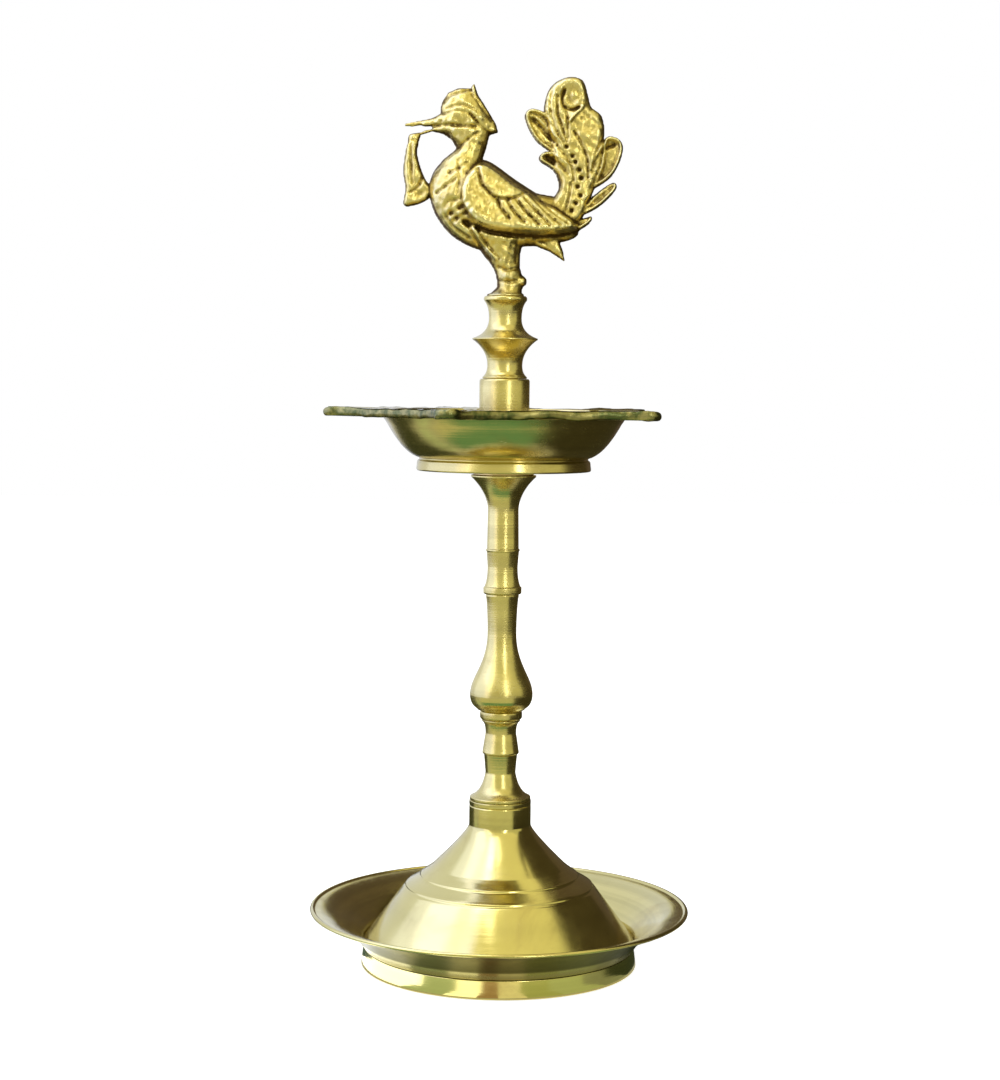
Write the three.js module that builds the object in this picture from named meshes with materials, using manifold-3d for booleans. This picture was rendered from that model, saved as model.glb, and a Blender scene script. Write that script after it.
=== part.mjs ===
// A standing oil lamp in cast and turned brass: a drip dish on a hollow base, a stem of three turned
// sections, an oil bowl with five spouts, and a bird on a turned finial. The sections screw together on
// threaded studs. Millimetres; the lamp stands on z = 0 with its axis on z, and the bird looks along minus x.

import * as THREE from 'three';
import { mergeVertices } from 'three/addons/utils/BufferGeometryUtils.js';
import Module from 'manifold-3d';

// Fits
const seam = 0.3;
const studClearance = 0.25;

// Foot ring
const footTopRadius = 47.0;
const footFlare = 0.8;
const footHeight = 6.2;
const footWall = 2.7;

// Drip dish
const dishThickness = 1.6;
const dishSeatWidth = 4.8;
const dishHeel = 2.0;
const dishHeelRise = 2.8;
const dishRimRadius = 65.7;
const dishRise = 13.5;
const dishSwell = 1.7;

// Bell of the base
const bellInset = 0.4;
const bellHeight = 48.7;
const bellWall = 2.4;
const bellConeRadius = 33.0;
const bellConeRise = 18.6;
const bellMidRadius = 27.6;
const bellMidRise = 22.2;
const bellCrownRadius = 24.6;
const bellCrownRise = 24.4;
const bellStep = 1.2;
const neckRadius = 10.7;
const neckHeight = 9.6;
const grooveDepth = 0.5;
const grooveWidth = 1.1;
const grooveDrops = [1.7, 4.8];

// Lower section of the stem
const lowerHeight = 27.7;
const lowerFlareRadius = 10.5;
const lowerFlareEdge = 1.0;
const lowerWaistRadius = 5.2;
const lowerWaistRise = 9.4;
const lowerKnopRadius = 6.3;
const lowerKnopRise = 16.2;
const lowerNeckRadius = 5.3;
const lowerNeckRise = 23.1;
const lowerTopRadius = 6.6;

// Bead ring between the lower and middle sections
const beadRadius = 7.3;
const beadHeight = 3.1;

// Middle section of the stem
const middleHeight = 39.9;
const middleFootRadius = 8.3;
const middleBellyRadius = 10.85;
const middleBellyRise = 5.2;
const middleWaistRadius = 5.0;
const middleWaistRise = 26.7;
const middleTopRadius = 5.7;

// Upper section of the stem
const upperHeight = 40.7;
const upperKnopRadius = 6.6;
const upperKnopHeight = 2.4;
const upperWaistRadius = 5.2;
const upperWaistRise = 9.4;
const upperRidgeRadius = 5.8;
const upperRidgeRise = 14.9;
const upperNeckRadius = 5.3;
const upperNeckRise = 28.5;
const upperFlareRadius = 11.2;

// Washer under the bowl
const washerRadius = 10.4;
const washerThickness = 1.0;

// Oil bowl
const bowlHeight = 21.1;
const bowlFootRadius = 30.0;
const bowlFootWall = 2.6;
const bowlFootHeight = 3.9;
const bowlWall = 2.2;
const bowlRimRadius = 41.3;
const bossRadius = 12.0;
const bossHeight = 7.4;
const flangeThickness = 2.9;
const flangeRadius = 45.4;
const spouts = 5;
const spoutReach = 62.0;
const spoutTipRadius = 4.2;
const spoutSweep = 4.0;
const channelRadius = 3.0;
const channelDepth = 1.2;

// Finial
const collarRadius = 8.6;
const collarHeight = 23.6;
const balusterHeight = 27.9;
const balusterFootRadius = 7.7;
const balusterWaistRadius = 6.0;
const balusterWaistRise = 4.4;
const balusterDiscRadius = 11.2;
const balusterDiscRise = 13.4;
const balusterNeckRadius = 5.6;
const balusterNeckRise = 20.4;
const balusterLipRadius = 7.4;
const balusterLipRise = 26.7;

// Threaded studs
const studRadius = 3.1;
const threadPitch = 1.5;
const threadDepth = 0.7;
const threadGrip = 9.0;
const boreRunout = 1.0;

// Bird
const birdGrid = 1.0;
const tenonRadius = 3.0;
const tenonLength = 6.0;
const blockRadius = 6.3;
const blockHeight = 1.8;
const bodyWidth = 22.0;
const headWidth = 11.0;
const legWidth = 9.6;
const beakWidth = 8.8;
const crestThickness = 4.6;
const garlandThickness = 5.6;
const wingThickness = 3.2;
const wingHeight = 30.0;
const wingLean = 16.0;
const wingSlant = 9.0;
const tailThickness = 8.4;
const leafThickness = 6.2;
const spurThickness = 5.0;
const curlDimple = 2.9;
const castEdge = 0.6;

// Facets
const baseSides = 40;
const stemSides = 24;
const studSides = 10;
const limbSides = 12;
const arcSteps = 3;

const wasm = await Module();
wasm.setup();

// Levels, from the ground up
const dishBottom = footHeight + seam;
const bellBottom = dishBottom + dishThickness + seam;
const neckTop = bellBottom + bellHeight;
const lowerBottom = neckTop + seam;
const lowerTop = lowerBottom + lowerHeight;
const beadBottom = lowerTop + seam;
const middleBottom = beadBottom + beadHeight + seam;
const middleTop = middleBottom + middleHeight;
const upperBottom = middleTop + seam;
const upperTop = upperBottom + upperHeight;
const washerBottom = upperTop + seam;
const bowlBottom = washerBottom + washerThickness + seam;
const bowlTop = bowlBottom + bowlHeight;
const collarBottom = bowlBottom + bossHeight + seam;
const balusterBottom = collarBottom + collarHeight + seam;
const balusterTop = balusterBottom + balusterHeight;
const birdBottom = balusterTop + seam;

const skirtRadius = footTopRadius - bellInset;
const boreRadius = studRadius + studClearance;
const boreDepth = threadGrip + boreRunout;

// A geometry whose shared corners are one vertex, without the empty triangles that a pole leaves.
function welded(geometry) {
  const bare = geometry.clone();
  bare.deleteAttribute('normal');
  bare.deleteAttribute('uv');
  const merged = mergeVertices(bare, 1e-4);
  const corners = merged.index.array;
  const kept = [];
  for (let i = 0; i < corners.length; i += 3) {
    const [a, b, c] = corners.slice(i, i + 3);
    if (a !== b && b !== c && c !== a) kept.push(a, b, c);
  }
  merged.setIndex(kept);
  return merged;
}

function solid(geometry) {
  const merged = welded(geometry);
  return new wasm.Manifold(new wasm.Mesh({
    numProp: 3,
    vertProperties: new Float32Array(merged.attributes.position.array),
    triVerts: new Uint32Array(merged.index.array),
  }));
}

function geometryOf(manifold) {
  const mesh = manifold.getMesh();
  const geometry = new THREE.BufferGeometry();
  geometry.setAttribute('position', new THREE.BufferAttribute(new Float32Array(mesh.vertProperties), 3));
  geometry.setIndex(new THREE.BufferAttribute(new Uint32Array(mesh.triVerts), 1));
  return geometry;
}

function joined(solids) {
  return solids.reduce((whole, piece) => whole.add(piece));
}

// Turned work: the outline is radius against height, up the outside and down the inside.
function outlineFrom(radius, height) {
  const outline = new THREE.Path();
  outline.moveTo(radius, height);
  return outline;
}

function turned(outline, sides) {
  const geometry = new THREE.LatheGeometry(outline.getPoints(arcSteps), sides);
  geometry.rotateX(Math.PI / 2);
  return welded(geometry);
}

function footRing() {
  const innerRadius = footTopRadius - footWall;
  const outline = outlineFrom(innerRadius, 0);
  outline.lineTo(footTopRadius + footFlare, 0);
  outline.quadraticCurveTo(footTopRadius, footHeight / 3, footTopRadius, footHeight);
  outline.lineTo(innerRadius, footHeight);
  outline.closePath();
  return turned(outline, baseSides);
}

// The dish has a flat seat for the bell, a steep heel over the foot ring, and a flaring side.
function baseDish() {
  const rimTop = dishBottom + dishRise;
  const lip = dishThickness / 2;
  const heelRadius = footTopRadius + dishHeel;
  const heelTop = dishBottom + dishHeelRise;
  const sideRadius = (heelRadius + dishRimRadius) / 2 - dishSwell;
  const sideHeight = (heelTop + rimTop) / 2 + dishSwell;
  const outline = outlineFrom(footTopRadius - dishSeatWidth, dishBottom);
  outline.lineTo(footTopRadius, dishBottom);
  outline.lineTo(heelRadius, heelTop);
  outline.quadraticCurveTo(sideRadius, sideHeight, dishRimRadius, rimTop - lip);
  outline.quadraticCurveTo(dishRimRadius, rimTop, dishRimRadius - lip, rimTop);
  outline.quadraticCurveTo(dishRimRadius - 2 * lip, rimTop, dishRimRadius - 2 * lip, rimTop - lip);
  outline.quadraticCurveTo(
    sideRadius - lip, sideHeight + dishThickness,
    heelRadius - dishThickness, heelTop + lip,
  );
  outline.lineTo(skirtRadius + seam, dishBottom + dishThickness);
  outline.lineTo(footTopRadius - dishSeatWidth, dishBottom + dishThickness);
  outline.closePath();
  return turned(outline, baseSides);
}

// The bell is cast hollow: a straight skirt, two stepped fillets, and a sweep up to a neck with two grooves.
function baseBell() {
  const neckBottom = neckTop - neckHeight;
  const sweepRadius = bellCrownRadius - bellStep;
  const sweepHeight = bellBottom + bellCrownRise + bellStep;
  const outline = outlineFrom(skirtRadius - bellWall, bellBottom);
  outline.lineTo(skirtRadius, bellBottom);
  outline.lineTo(bellConeRadius, bellBottom + bellConeRise);
  outline.lineTo(bellConeRadius - bellStep, bellBottom + bellConeRise + bellStep);
  outline.lineTo(bellMidRadius, bellBottom + bellMidRise);
  outline.lineTo(bellMidRadius - bellStep / 2, bellBottom + bellMidRise + bellStep / 2);
  outline.lineTo(bellCrownRadius, bellBottom + bellCrownRise);
  outline.lineTo(sweepRadius, sweepHeight);
  outline.quadraticCurveTo(neckRadius, neckBottom - bellStep, neckRadius, neckBottom + bellStep);
  for (const drop of [...grooveDrops].sort((a, b) => b - a)) {
    outline.lineTo(neckRadius, neckTop - drop - grooveWidth / 2);
    outline.lineTo(neckRadius - grooveDepth, neckTop - drop);
    outline.lineTo(neckRadius, neckTop - drop + grooveWidth / 2);
  }
  outline.lineTo(neckRadius, neckTop);
  outline.lineTo(boreRadius, neckTop);
  outline.lineTo(boreRadius, neckBottom - bellWall);
  outline.lineTo(sweepRadius - 2 * bellWall, sweepHeight - bellWall);
  outline.lineTo(bellConeRadius - bellWall, bellBottom + bellConeRise - bellWall);
  outline.closePath();
  return turned(outline, baseSides);
}

// A section of the stem: a turned outside, and a blind bore at each end for a stud.
function section(bottom, top, outside) {
  const outline = outlineFrom(0, bottom + boreDepth);
  outline.lineTo(boreRadius, bottom + boreDepth);
  outline.lineTo(boreRadius, bottom);
  outside(outline);
  outline.lineTo(boreRadius, top);
  outline.lineTo(boreRadius, top - boreDepth);
  outline.lineTo(0, top - boreDepth);
  return turned(outline, stemSides);
}

function stemLower() {
  const at = (rise) => lowerBottom + rise;
  return section(lowerBottom, lowerTop, (outline) => {
    outline.lineTo(lowerFlareRadius, lowerBottom);
    outline.lineTo(lowerFlareRadius, at(lowerFlareEdge));
    outline.quadraticCurveTo(
      lowerWaistRadius + lowerFlareEdge, at(lowerWaistRise / 3),
      lowerWaistRadius, at(lowerWaistRise),
    );
    outline.lineTo((lowerWaistRadius + lowerKnopRadius) / 2, at(lowerKnopRise));
    outline.lineTo(lowerKnopRadius, at(lowerKnopRise));
    outline.quadraticCurveTo(
      lowerKnopRadius, at((lowerKnopRise + lowerNeckRise) / 2),
      lowerNeckRadius, at(lowerNeckRise),
    );
    outline.quadraticCurveTo(lowerNeckRadius, lowerTop - lowerFlareEdge, lowerTopRadius, lowerTop);
  });
}

function beadRing() {
  const edge = beadHeight / 4;
  const outline = outlineFrom(boreRadius, beadBottom);
  outline.lineTo(beadRadius - edge, beadBottom);
  outline.quadraticCurveTo(beadRadius, beadBottom, beadRadius, beadBottom + beadHeight / 2);
  outline.quadraticCurveTo(beadRadius, beadBottom + beadHeight, beadRadius - edge, beadBottom + beadHeight);
  outline.lineTo(boreRadius, beadBottom + beadHeight);
  outline.closePath();
  return turned(outline, stemSides);
}

function stemMiddle() {
  const at = (rise) => middleBottom + rise;
  return section(middleBottom, middleTop, (outline) => {
    outline.lineTo(middleFootRadius, middleBottom);
    outline.quadraticCurveTo(middleBellyRadius, at(middleBellyRise / 4), middleBellyRadius, at(middleBellyRise));
    outline.bezierCurveTo(
      middleBellyRadius, at(middleBellyRise * 2.2),
      middleWaistRadius, at(middleWaistRise * 0.58),
      middleWaistRadius, at(middleWaistRise),
    );
    outline.quadraticCurveTo(
      middleWaistRadius, at((middleWaistRise + middleHeight) / 2),
      middleTopRadius, middleTop,
    );
  });
}

function stemUpper() {
  const at = (rise) => upperBottom + rise;
  return section(upperBottom, upperTop, (outline) => {
    outline.lineTo(upperKnopRadius, upperBottom);
    outline.lineTo(upperKnopRadius, at(upperKnopHeight));
    outline.quadraticCurveTo(upperWaistRadius, at(upperWaistRise / 2), upperWaistRadius, at(upperWaistRise));
    outline.lineTo(upperRidgeRadius, at(upperRidgeRise));
    outline.lineTo(upperNeckRadius, at(upperNeckRise));
    outline.quadraticCurveTo(
      upperNeckRadius, at((upperNeckRise + upperHeight) / 2),
      upperFlareRadius, upperTop,
    );
  });
}

function bowlWasher() {
  const outline = outlineFrom(boreRadius, washerBottom);
  outline.lineTo(washerRadius, washerBottom);
  outline.lineTo(washerRadius, washerBottom + washerThickness);
  outline.lineTo(boreRadius, washerBottom + washerThickness);
  outline.closePath();
  return turned(outline, stemSides);
}

// The bowl stands on its boss, with a ring foot round it; the boss has the hole for the finial's stud.
function bowlShell() {
  const underside = bowlBottom + bowlFootHeight - bowlWall / 2;
  const floor = underside + bowlWall;
  const footInner = bowlFootRadius - bowlFootWall;
  const outline = outlineFrom(boreRadius, bowlBottom);
  outline.lineTo(bossRadius, bowlBottom);
  outline.lineTo(bossRadius, underside);
  outline.lineTo(footInner, underside);
  outline.lineTo(footInner, bowlBottom);
  outline.lineTo(bowlFootRadius, bowlBottom);
  outline.lineTo(bowlFootRadius - bowlWall / 3, bowlBottom + bowlFootHeight);
  outline.quadraticCurveTo(
    (bowlFootRadius + bowlRimRadius) / 2 - bowlWall / 2, bowlBottom + bowlFootHeight + bowlWall,
    bowlRimRadius, bowlTop - flangeThickness / 2,
  );
  outline.lineTo(bowlRimRadius - bowlWall, bowlTop - flangeThickness / 2);
  outline.quadraticCurveTo((footInner + bowlRimRadius) / 2, floor + bowlWall, footInner, floor);
  outline.lineTo(bossRadius, floor);
  outline.lineTo(bossRadius - bowlWall / 2, bowlBottom + bossHeight);
  outline.lineTo(boreRadius, bowlBottom + bossHeight);
  outline.closePath();
  return solid(turned(outline, baseSides));
}

// The flange round the mouth: one curve runs out along each spout, round its tip and back to the next valley.
function flangeShape() {
  const shape = new THREE.Shape();
  const pitch = (2 * Math.PI) / spouts;
  for (let k = 0; k < spouts; k += 1) {
    const turn = Math.PI + k * pitch;
    const place = (x, y) => new THREE.Vector2(x, y).rotateAround(new THREE.Vector2(), turn);
    const valley = (side) => place(
      flangeRadius * Math.cos(pitch / 2), side * flangeRadius * Math.sin(pitch / 2),
    );
    const shoulder = (side) => place(flangeRadius - spoutSweep, side * flangeRadius * 0.43);
    const throat = (side) => place(flangeRadius + spoutSweep, side * spoutTipRadius * 2);
    const cheek = (side) => place(spoutReach - spoutTipRadius, side * spoutTipRadius);
    const corner = (side) => place(spoutReach, side * spoutTipRadius);
    const tip = place(spoutReach, 0);
    if (k === 0) shape.moveTo(...valley(-1));
    shape.bezierCurveTo(...shoulder(-1), ...throat(-1), ...cheek(-1));
    shape.quadraticCurveTo(...corner(-1), ...tip);
    shape.quadraticCurveTo(...corner(1), ...cheek(1));
    shape.bezierCurveTo(...throat(1), ...shoulder(1), ...valley(1));
  }
  return shape;
}

function oilBowl() {
  const shape = flangeShape();
  const mouth = new THREE.EllipseCurve(0, 0, bowlRimRadius - bowlWall, bowlRimRadius - bowlWall);
  shape.holes.push(new THREE.Path(mouth.getPoints(baseSides).slice(0, -1)));
  const flange = new THREE.ExtrudeGeometry(shape, {
    depth: flangeThickness,
    bevelEnabled: false,
    curveSegments: 5,
  });
  flange.translate(0, 0, bowlTop - flangeThickness);
  let bowl = bowlShell().add(solid(flange));
  for (let k = 0; k < spouts; k += 1) {
    const channel = new THREE.CylinderGeometry(channelRadius, channelRadius, spoutReach, stemSides / 2);
    channel.rotateZ(Math.PI / 2);
    channel.translate(-spoutReach / 2 - bowlRimRadius + 2 * bowlWall, 0, bowlTop + channelRadius - channelDepth);
    channel.rotateZ((k * 2 * Math.PI) / spouts);
    bowl = bowl.subtract(solid(channel));
  }
  return geometryOf(bowl);
}

function finialCollar() {
  const outline = outlineFrom(boreRadius, collarBottom);
  outline.lineTo(collarRadius, collarBottom);
  outline.lineTo(collarRadius, collarBottom + collarHeight);
  outline.lineTo(boreRadius, collarBottom + collarHeight);
  outline.closePath();
  return turned(outline, stemSides);
}

function finialBaluster() {
  const at = (rise) => balusterBottom + rise;
  const tenonBoreRadius = tenonRadius + seam;
  const tenonBoreDepth = tenonLength + boreRunout;
  const outline = outlineFrom(0, at(boreDepth));
  outline.lineTo(boreRadius, at(boreDepth));
  outline.lineTo(boreRadius, balusterBottom);
  outline.lineTo(balusterFootRadius, balusterBottom);
  outline.quadraticCurveTo(balusterWaistRadius, at(balusterWaistRise / 3), balusterWaistRadius, at(balusterWaistRise));
  outline.quadraticCurveTo(
    balusterWaistRadius, at(balusterDiscRise * 0.7),
    balusterDiscRadius, at(balusterDiscRise - seam),
  );
  outline.lineTo(balusterDiscRadius, at(balusterDiscRise + seam));
  outline.quadraticCurveTo(
    balusterNeckRadius, at(balusterDiscRise + balusterWaistRise / 2),
    balusterNeckRadius, at(balusterNeckRise),
  );
  outline.quadraticCurveTo(
    balusterNeckRadius, at(balusterLipRise - balusterWaistRise / 2),
    balusterLipRadius, at(balusterLipRise),
  );
  outline.lineTo(balusterLipRadius, balusterTop - seam);
  outline.lineTo(balusterLipRadius - seam, balusterTop);
  outline.lineTo(tenonBoreRadius, balusterTop);
  outline.lineTo(tenonBoreRadius, balusterTop - tenonBoreDepth);
  outline.lineTo(0, balusterTop - tenonBoreDepth);
  return turned(outline, stemSides);
}

// A screw thread: crest and root run side by side up a helix, one turn to each pitch. It starts and ends
// ragged, so it is made a pitch too long at each end and trimmed by the rod that it is cut on.
function thread(length) {
  const rows = 2 * (Math.ceil(length / threadPitch) + 2);
  const corners = [];
  for (let row = 0; row <= rows; row += 1) {
    const radius = studRadius - (row % 2) * threadDepth;
    for (let side = 0; side < studSides; side += 1) {
      const turn = (side / studSides) * 2 * Math.PI;
      const height = (row / 2 + side / studSides - 2) * threadPitch;
      corners.push(radius * Math.cos(turn), radius * Math.sin(turn), height);
    }
  }
  const bottom = corners.length / 3;
  corners.push(0, 0, -2 * threadPitch, 0, 0, (rows / 2) * threadPitch);
  const top = bottom + 1;
  // The corner after the last one of a row is the first one, two rows up.
  const corner = (row, side) => (side < studSides ? row * studSides + side : (row + 2) * studSides);
  const faces = [];
  for (let row = 0; row < rows - 2; row += 1) {
    for (let side = 0; side < studSides; side += 1) {
      const [a, b] = [corner(row, side), corner(row, side + 1)];
      const [c, d] = [corner(row + 1, side + 1), corner(row + 1, side)];
      faces.push(a, b, c, a, c, d);
    }
  }
  const rim = (row) => [
    ...Array.from({ length: studSides }, (_, side) => corner(row, side)), corner(row + 2, 0), corner(row + 1, 0),
  ];
  const fan = (loop, hub) => loop.flatMap((from, i) => [hub, loop[(i + 1) % loop.length], from]);
  faces.push(...fan(rim(0), bottom), ...fan(rim(rows - 2).reverse(), top));
  const geometry = new THREE.BufferGeometry();
  geometry.setAttribute('position', new THREE.Float32BufferAttribute(corners, 3));
  geometry.setIndex(faces);
  return geometry;
}

// A stud: threaded for the grip at each end, with a plain shank over any length that is left between.
function stud(bottom, top) {
  const grip = Math.min(threadGrip, (top - bottom) / 2);
  const rod = (radius, from, to) => {
    const cylinder = new THREE.CylinderGeometry(radius, radius, to - from, studSides);
    cylinder.rotateX(Math.PI / 2);
    cylinder.translate(0, 0, (from + to) / 2);
    return solid(cylinder);
  };
  const threaded = (from, to) => rod(2 * studRadius, from, to).intersect(
    solid(thread(to - from).translate(0, 0, from)),
  );
  if (top - bottom - 2 * grip < threadPitch) return geometryOf(threaded(bottom, top));
  const shank = rod(studRadius, bottom + grip - threadPitch / 2, top - grip + threadPitch / 2);
  return geometryOf(joined([threaded(bottom, bottom + grip), shank, threaded(top - grip, top)]));
}

// Bird castings are drawn in profile, as points (x, z) above the finial, and given a thickness along y.
function drawn(points) {
  return points.map(([x, z]) => new THREE.Vector2(x * birdGrid, z * birdGrid));
}

function plate(points, thickness) {
  return thickened(new THREE.Shape(drawn(points)), thickness);
}

function leaf(points, thickness) {
  const [first, ...rest] = drawn(points);
  const shape = new THREE.Shape();
  shape.moveTo(first.x, first.y);
  shape.splineThru([...rest, first]);
  return thickened(new THREE.Shape(shape.getPoints(2).slice(0, -1)), thickness);
}

function thickened(shape, thickness) {
  const geometry = new THREE.ExtrudeGeometry(shape, {
    depth: thickness - 2 * castEdge,
    bevelThickness: castEdge,
    bevelSize: castEdge,
    bevelOffset: -castEdge,
    bevelSegments: 1,
  });
  geometry.translate(0, 0, castEdge - thickness / 2);
  geometry.rotateX(Math.PI / 2);
  return geometry;
}

// A rounded limb: ellipses strung along the profile, each given as [x, z, half depth, share of the width]. A
// limb that runs upwards has level ellipses, and one that runs along x has upright ones.
function limb(stations, width, upwards) {
  const corners = [];
  const place = (x, y, z) => corners.push(x * birdGrid, y, z * birdGrid);
  for (const [x, z, deep, share] of stations) {
    for (let side = 0; side < limbSides; side += 1) {
      const turn = (side / limbSides) * 2 * Math.PI;
      const out = deep * Math.cos(turn);
      const across = share * (width / 2) * Math.sin(turn);
      if (upwards) place(x + out, across, z);
      else place(x, across, z - out);
    }
  }
  const last = stations.length - 1;
  place(stations[0][0], 0, stations[0][1]);
  place(stations[last][0], 0, stations[last][1]);
  const faces = [];
  for (let side = 0; side < limbSides; side += 1) {
    const next = (side + 1) % limbSides;
    for (let ring = 0; ring < last; ring += 1) {
      const [low, high] = [ring * limbSides, (ring + 1) * limbSides];
      faces.push(low + side, low + next, high + next, low + side, high + next, high + side);
    }
    const top = last * limbSides;
    faces.push((last + 1) * limbSides, next, side);
    faces.push((last + 1) * limbSides + 1, top + side, top + next);
  }
  const geometry = new THREE.BufferGeometry();
  geometry.setAttribute('position', new THREE.Float32BufferAttribute(corners, 3));
  geometry.setIndex(faces);
  return geometry;
}

function birdBody() {
  return limb([
    [-26.2, 35.5, 2.5, 0.3], [-23.8, 34.5, 8.0, 0.66], [-18.0, 32.0, 12.3, 0.92], [-9.0, 29.8, 14.4, 1.0],
    [0.0, 28.0, 12.2, 0.9], [8.5, 26.2, 9.0, 0.68], [16.5, 26.5, 7.0, 0.46], [23.0, 26.5, 4.6, 0.3],
  ], bodyWidth, false);
}

function birdHead() {
  return limb([
    [-14.0, 30.0, 10.0, 1.6], [-16.2, 39.0, 9.4, 1.45], [-15.2, 45.0, 7.0, 1.15], [-12.2, 49.6, 5.1, 0.9],
    [-12.9, 53.0, 6.6, 0.94], [-13.8, 56.5, 8.4, 1.0], [-14.2, 60.5, 8.4, 1.0], [-15.4, 64.8, 6.8, 0.82],
    [-15.8, 68.0, 4.0, 0.5], [-15.8, 69.6, 1.2, 0.2],
  ], headWidth, true);
}

function birdLegs() {
  return limb([
    [0.6, 0.9, 4.6, 1.0], [1.4, 3.0, 4.6, 1.0], [1.0, 7.0, 4.7, 1.02], [-0.2, 10.5, 5.0, 1.12],
    [-1.8, 15.0, 6.8, 1.38], [-2.4, 22.0, 9.0, 1.67],
  ], legWidth, true);
}

function birdBeak() {
  return limb([
    [-34.8, 57.1, 0.5, 0.14], [-31.0, 57.2, 1.2, 0.3], [-25.5, 57.4, 2.2, 0.52], [-21.0, 58.0, 3.8, 0.89],
    [-15.0, 58.0, 4.6, 1.0],
  ], beakWidth, false);
}

function birdCrest() {
  return plate([
    [-22.2, 63.5], [-15.0, 57.0], [-7.5, 53.6], [-3.1, 55.0], [-4.0, 58.0], [-7.6, 63.7], [-10.0, 67.4],
    [-11.4, 71.3], [-12.6, 69.8], [-16.0, 69.4], [-20.2, 68.2],
  ], crestThickness);
}

// The garland: a stalk held in the beak, that arches back to the throat, and a leaf that hangs to the breast.
function birdGarland() {
  const stalk = plate([
    [-33.8, 51.0], [-30.4, 50.6], [-29.3, 53.9], [-25.5, 55.1], [-22.0, 54.4], [-18.9, 52.4], [-16.6, 48.6],
    [-13.5, 52.0], [-16.0, 57.0], [-22.0, 58.6], [-33.0, 57.3],
  ], garlandThickness * 0.7);
  const hanging = leaf([
    [-33.4, 51.6], [-34.8, 46.0], [-35.1, 40.7], [-34.4, 35.8], [-34.9, 30.2], [-30.6, 30.4], [-26.6, 32.4],
    [-24.6, 35.5], [-27.2, 38.2], [-29.4, 43.0], [-30.6, 48.0], [-30.2, 51.6],
  ], garlandThickness);
  return joined([solid(stalk), solid(hanging)]);
}

function birdWing(side) {
  const wing = leaf([
    [-7.6, 43.4], [-12.6, 41.0], [-15.1, 35.8], [-14.6, 30.4], [-11.6, 25.8], [-6.4, 22.8], [1.7, 21.5],
    [13.0, 21.2], [22.6, 23.0], [18.0, 27.6], [10.0, 32.0], [2.0, 37.0],
  ], wingThickness);
  // The wings lie against the body: they close in towards the back and towards the tail.
  const [lean, slant] = [wingLean, wingSlant].map((angle) => side * THREE.MathUtils.degToRad(angle));
  wing.translate(0, 0, -wingHeight);
  wing.rotateX(lean);
  wing.rotateZ(-slant);
  wing.translate(0, side * (bodyWidth - wingThickness) / 2, wingHeight);
  return wing;
}

// The tail: a broad fan with a curled top, two leaves towards the head and three behind.
function birdTail() {
  const fan = leaf([
    [12.5, 27.0], [15.6, 32.6], [17.7, 36.4], [17.0, 40.2], [15.6, 44.0], [15.0, 50.0], [13.4, 57.0],
    [12.4, 63.5], [14.8, 70.4], [20.0, 73.6], [25.2, 72.8], [27.2, 67.6], [28.4, 63.8], [32.0, 60.6],
    [33.0, 54.0], [32.4, 45.0], [29.6, 36.0], [27.0, 28.6], [22.6, 22.0], [16.0, 21.0],
  ], tailThickness);
  const leaves = [
    [[18.0, 47.6], [11.4, 50.8], [8.0, 54.8], [5.9, 60.4], [8.0, 63.0], [13.0, 61.5], [18.0, 56.0]],
    [[19.0, 38.4], [15.4, 42.6], [11.0, 45.6], [12.2, 48.4], [17.0, 48.4], [21.0, 43.0]],
    [[29.0, 36.6], [31.4, 44.0], [33.0, 53.0], [37.0, 53.6], [39.2, 51.0], [38.4, 45.8], [35.0, 40.0]],
    [[25.0, 27.6], [29.0, 33.6], [35.8, 38.4], [37.2, 36.4], [33.0, 31.6], [28.6, 28.6]],
    [[18.4, 19.4], [21.4, 24.4], [28.6, 27.0], [28.2, 24.6], [23.4, 21.5]],
  ];
  const curl = new THREE.CylinderGeometry(curlDimple, curlDimple, tailThickness, limbSides);
  const [eye] = drawn([[21.6, 66.8]]);
  const dimples = [-1, 1].map((side) => solid(
    curl.clone().translate(eye.x, side * (tailThickness - leafThickness / 4), eye.y),
  ));
  const whole = joined([solid(fan), ...leaves.map((points) => solid(leaf(points, leafThickness)))]);
  return dimples.reduce((piece, dimple) => piece.subtract(dimple), whole);
}

function birdSpur() {
  return plate([
    [4.0, 16.6], [9.8, 16.9], [14.8, 15.0], [20.0, 11.7], [19.4, 15.2], [17.8, 19.4], [12.0, 22.0], [4.0, 21.0],
  ], spurThickness);
}

// The bird stands on a round block, with a tenon below it that is held in the finial.
function birdBlock() {
  const outline = outlineFrom(0, -tenonLength);
  outline.lineTo(tenonRadius, -tenonLength);
  outline.lineTo(tenonRadius, 0);
  outline.lineTo(blockRadius, 0);
  outline.lineTo(blockRadius, blockHeight);
  outline.lineTo(0, blockHeight + seam);
  return turned(outline, stemSides);
}

function bird() {
  const rounded = [birdBody(), birdHead(), birdLegs(), birdBeak(), birdCrest(), birdSpur(), birdBlock()];
  const wings = [birdWing(-1), birdWing(1)];
  const whole = joined([...[...rounded, ...wings].map(solid), birdGarland(), birdTail()]);
  return geometryOf(whole).translate(0, 0, birdBottom);
}

function brass(color, roughness) {
  return new THREE.MeshStandardMaterial({ color, roughness, metalness: 1 });
}

const lamp = new THREE.Group();

function fit(name, geometry, material) {
  const mesh = new THREE.Mesh(geometry, material);
  mesh.name = name;
  lamp.add(mesh);
}

const polished = 0xd8b45a;
const satin = 0xc9a64e;
const cast = 0xb98f3c;
const bar = 0xb59a58;

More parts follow.
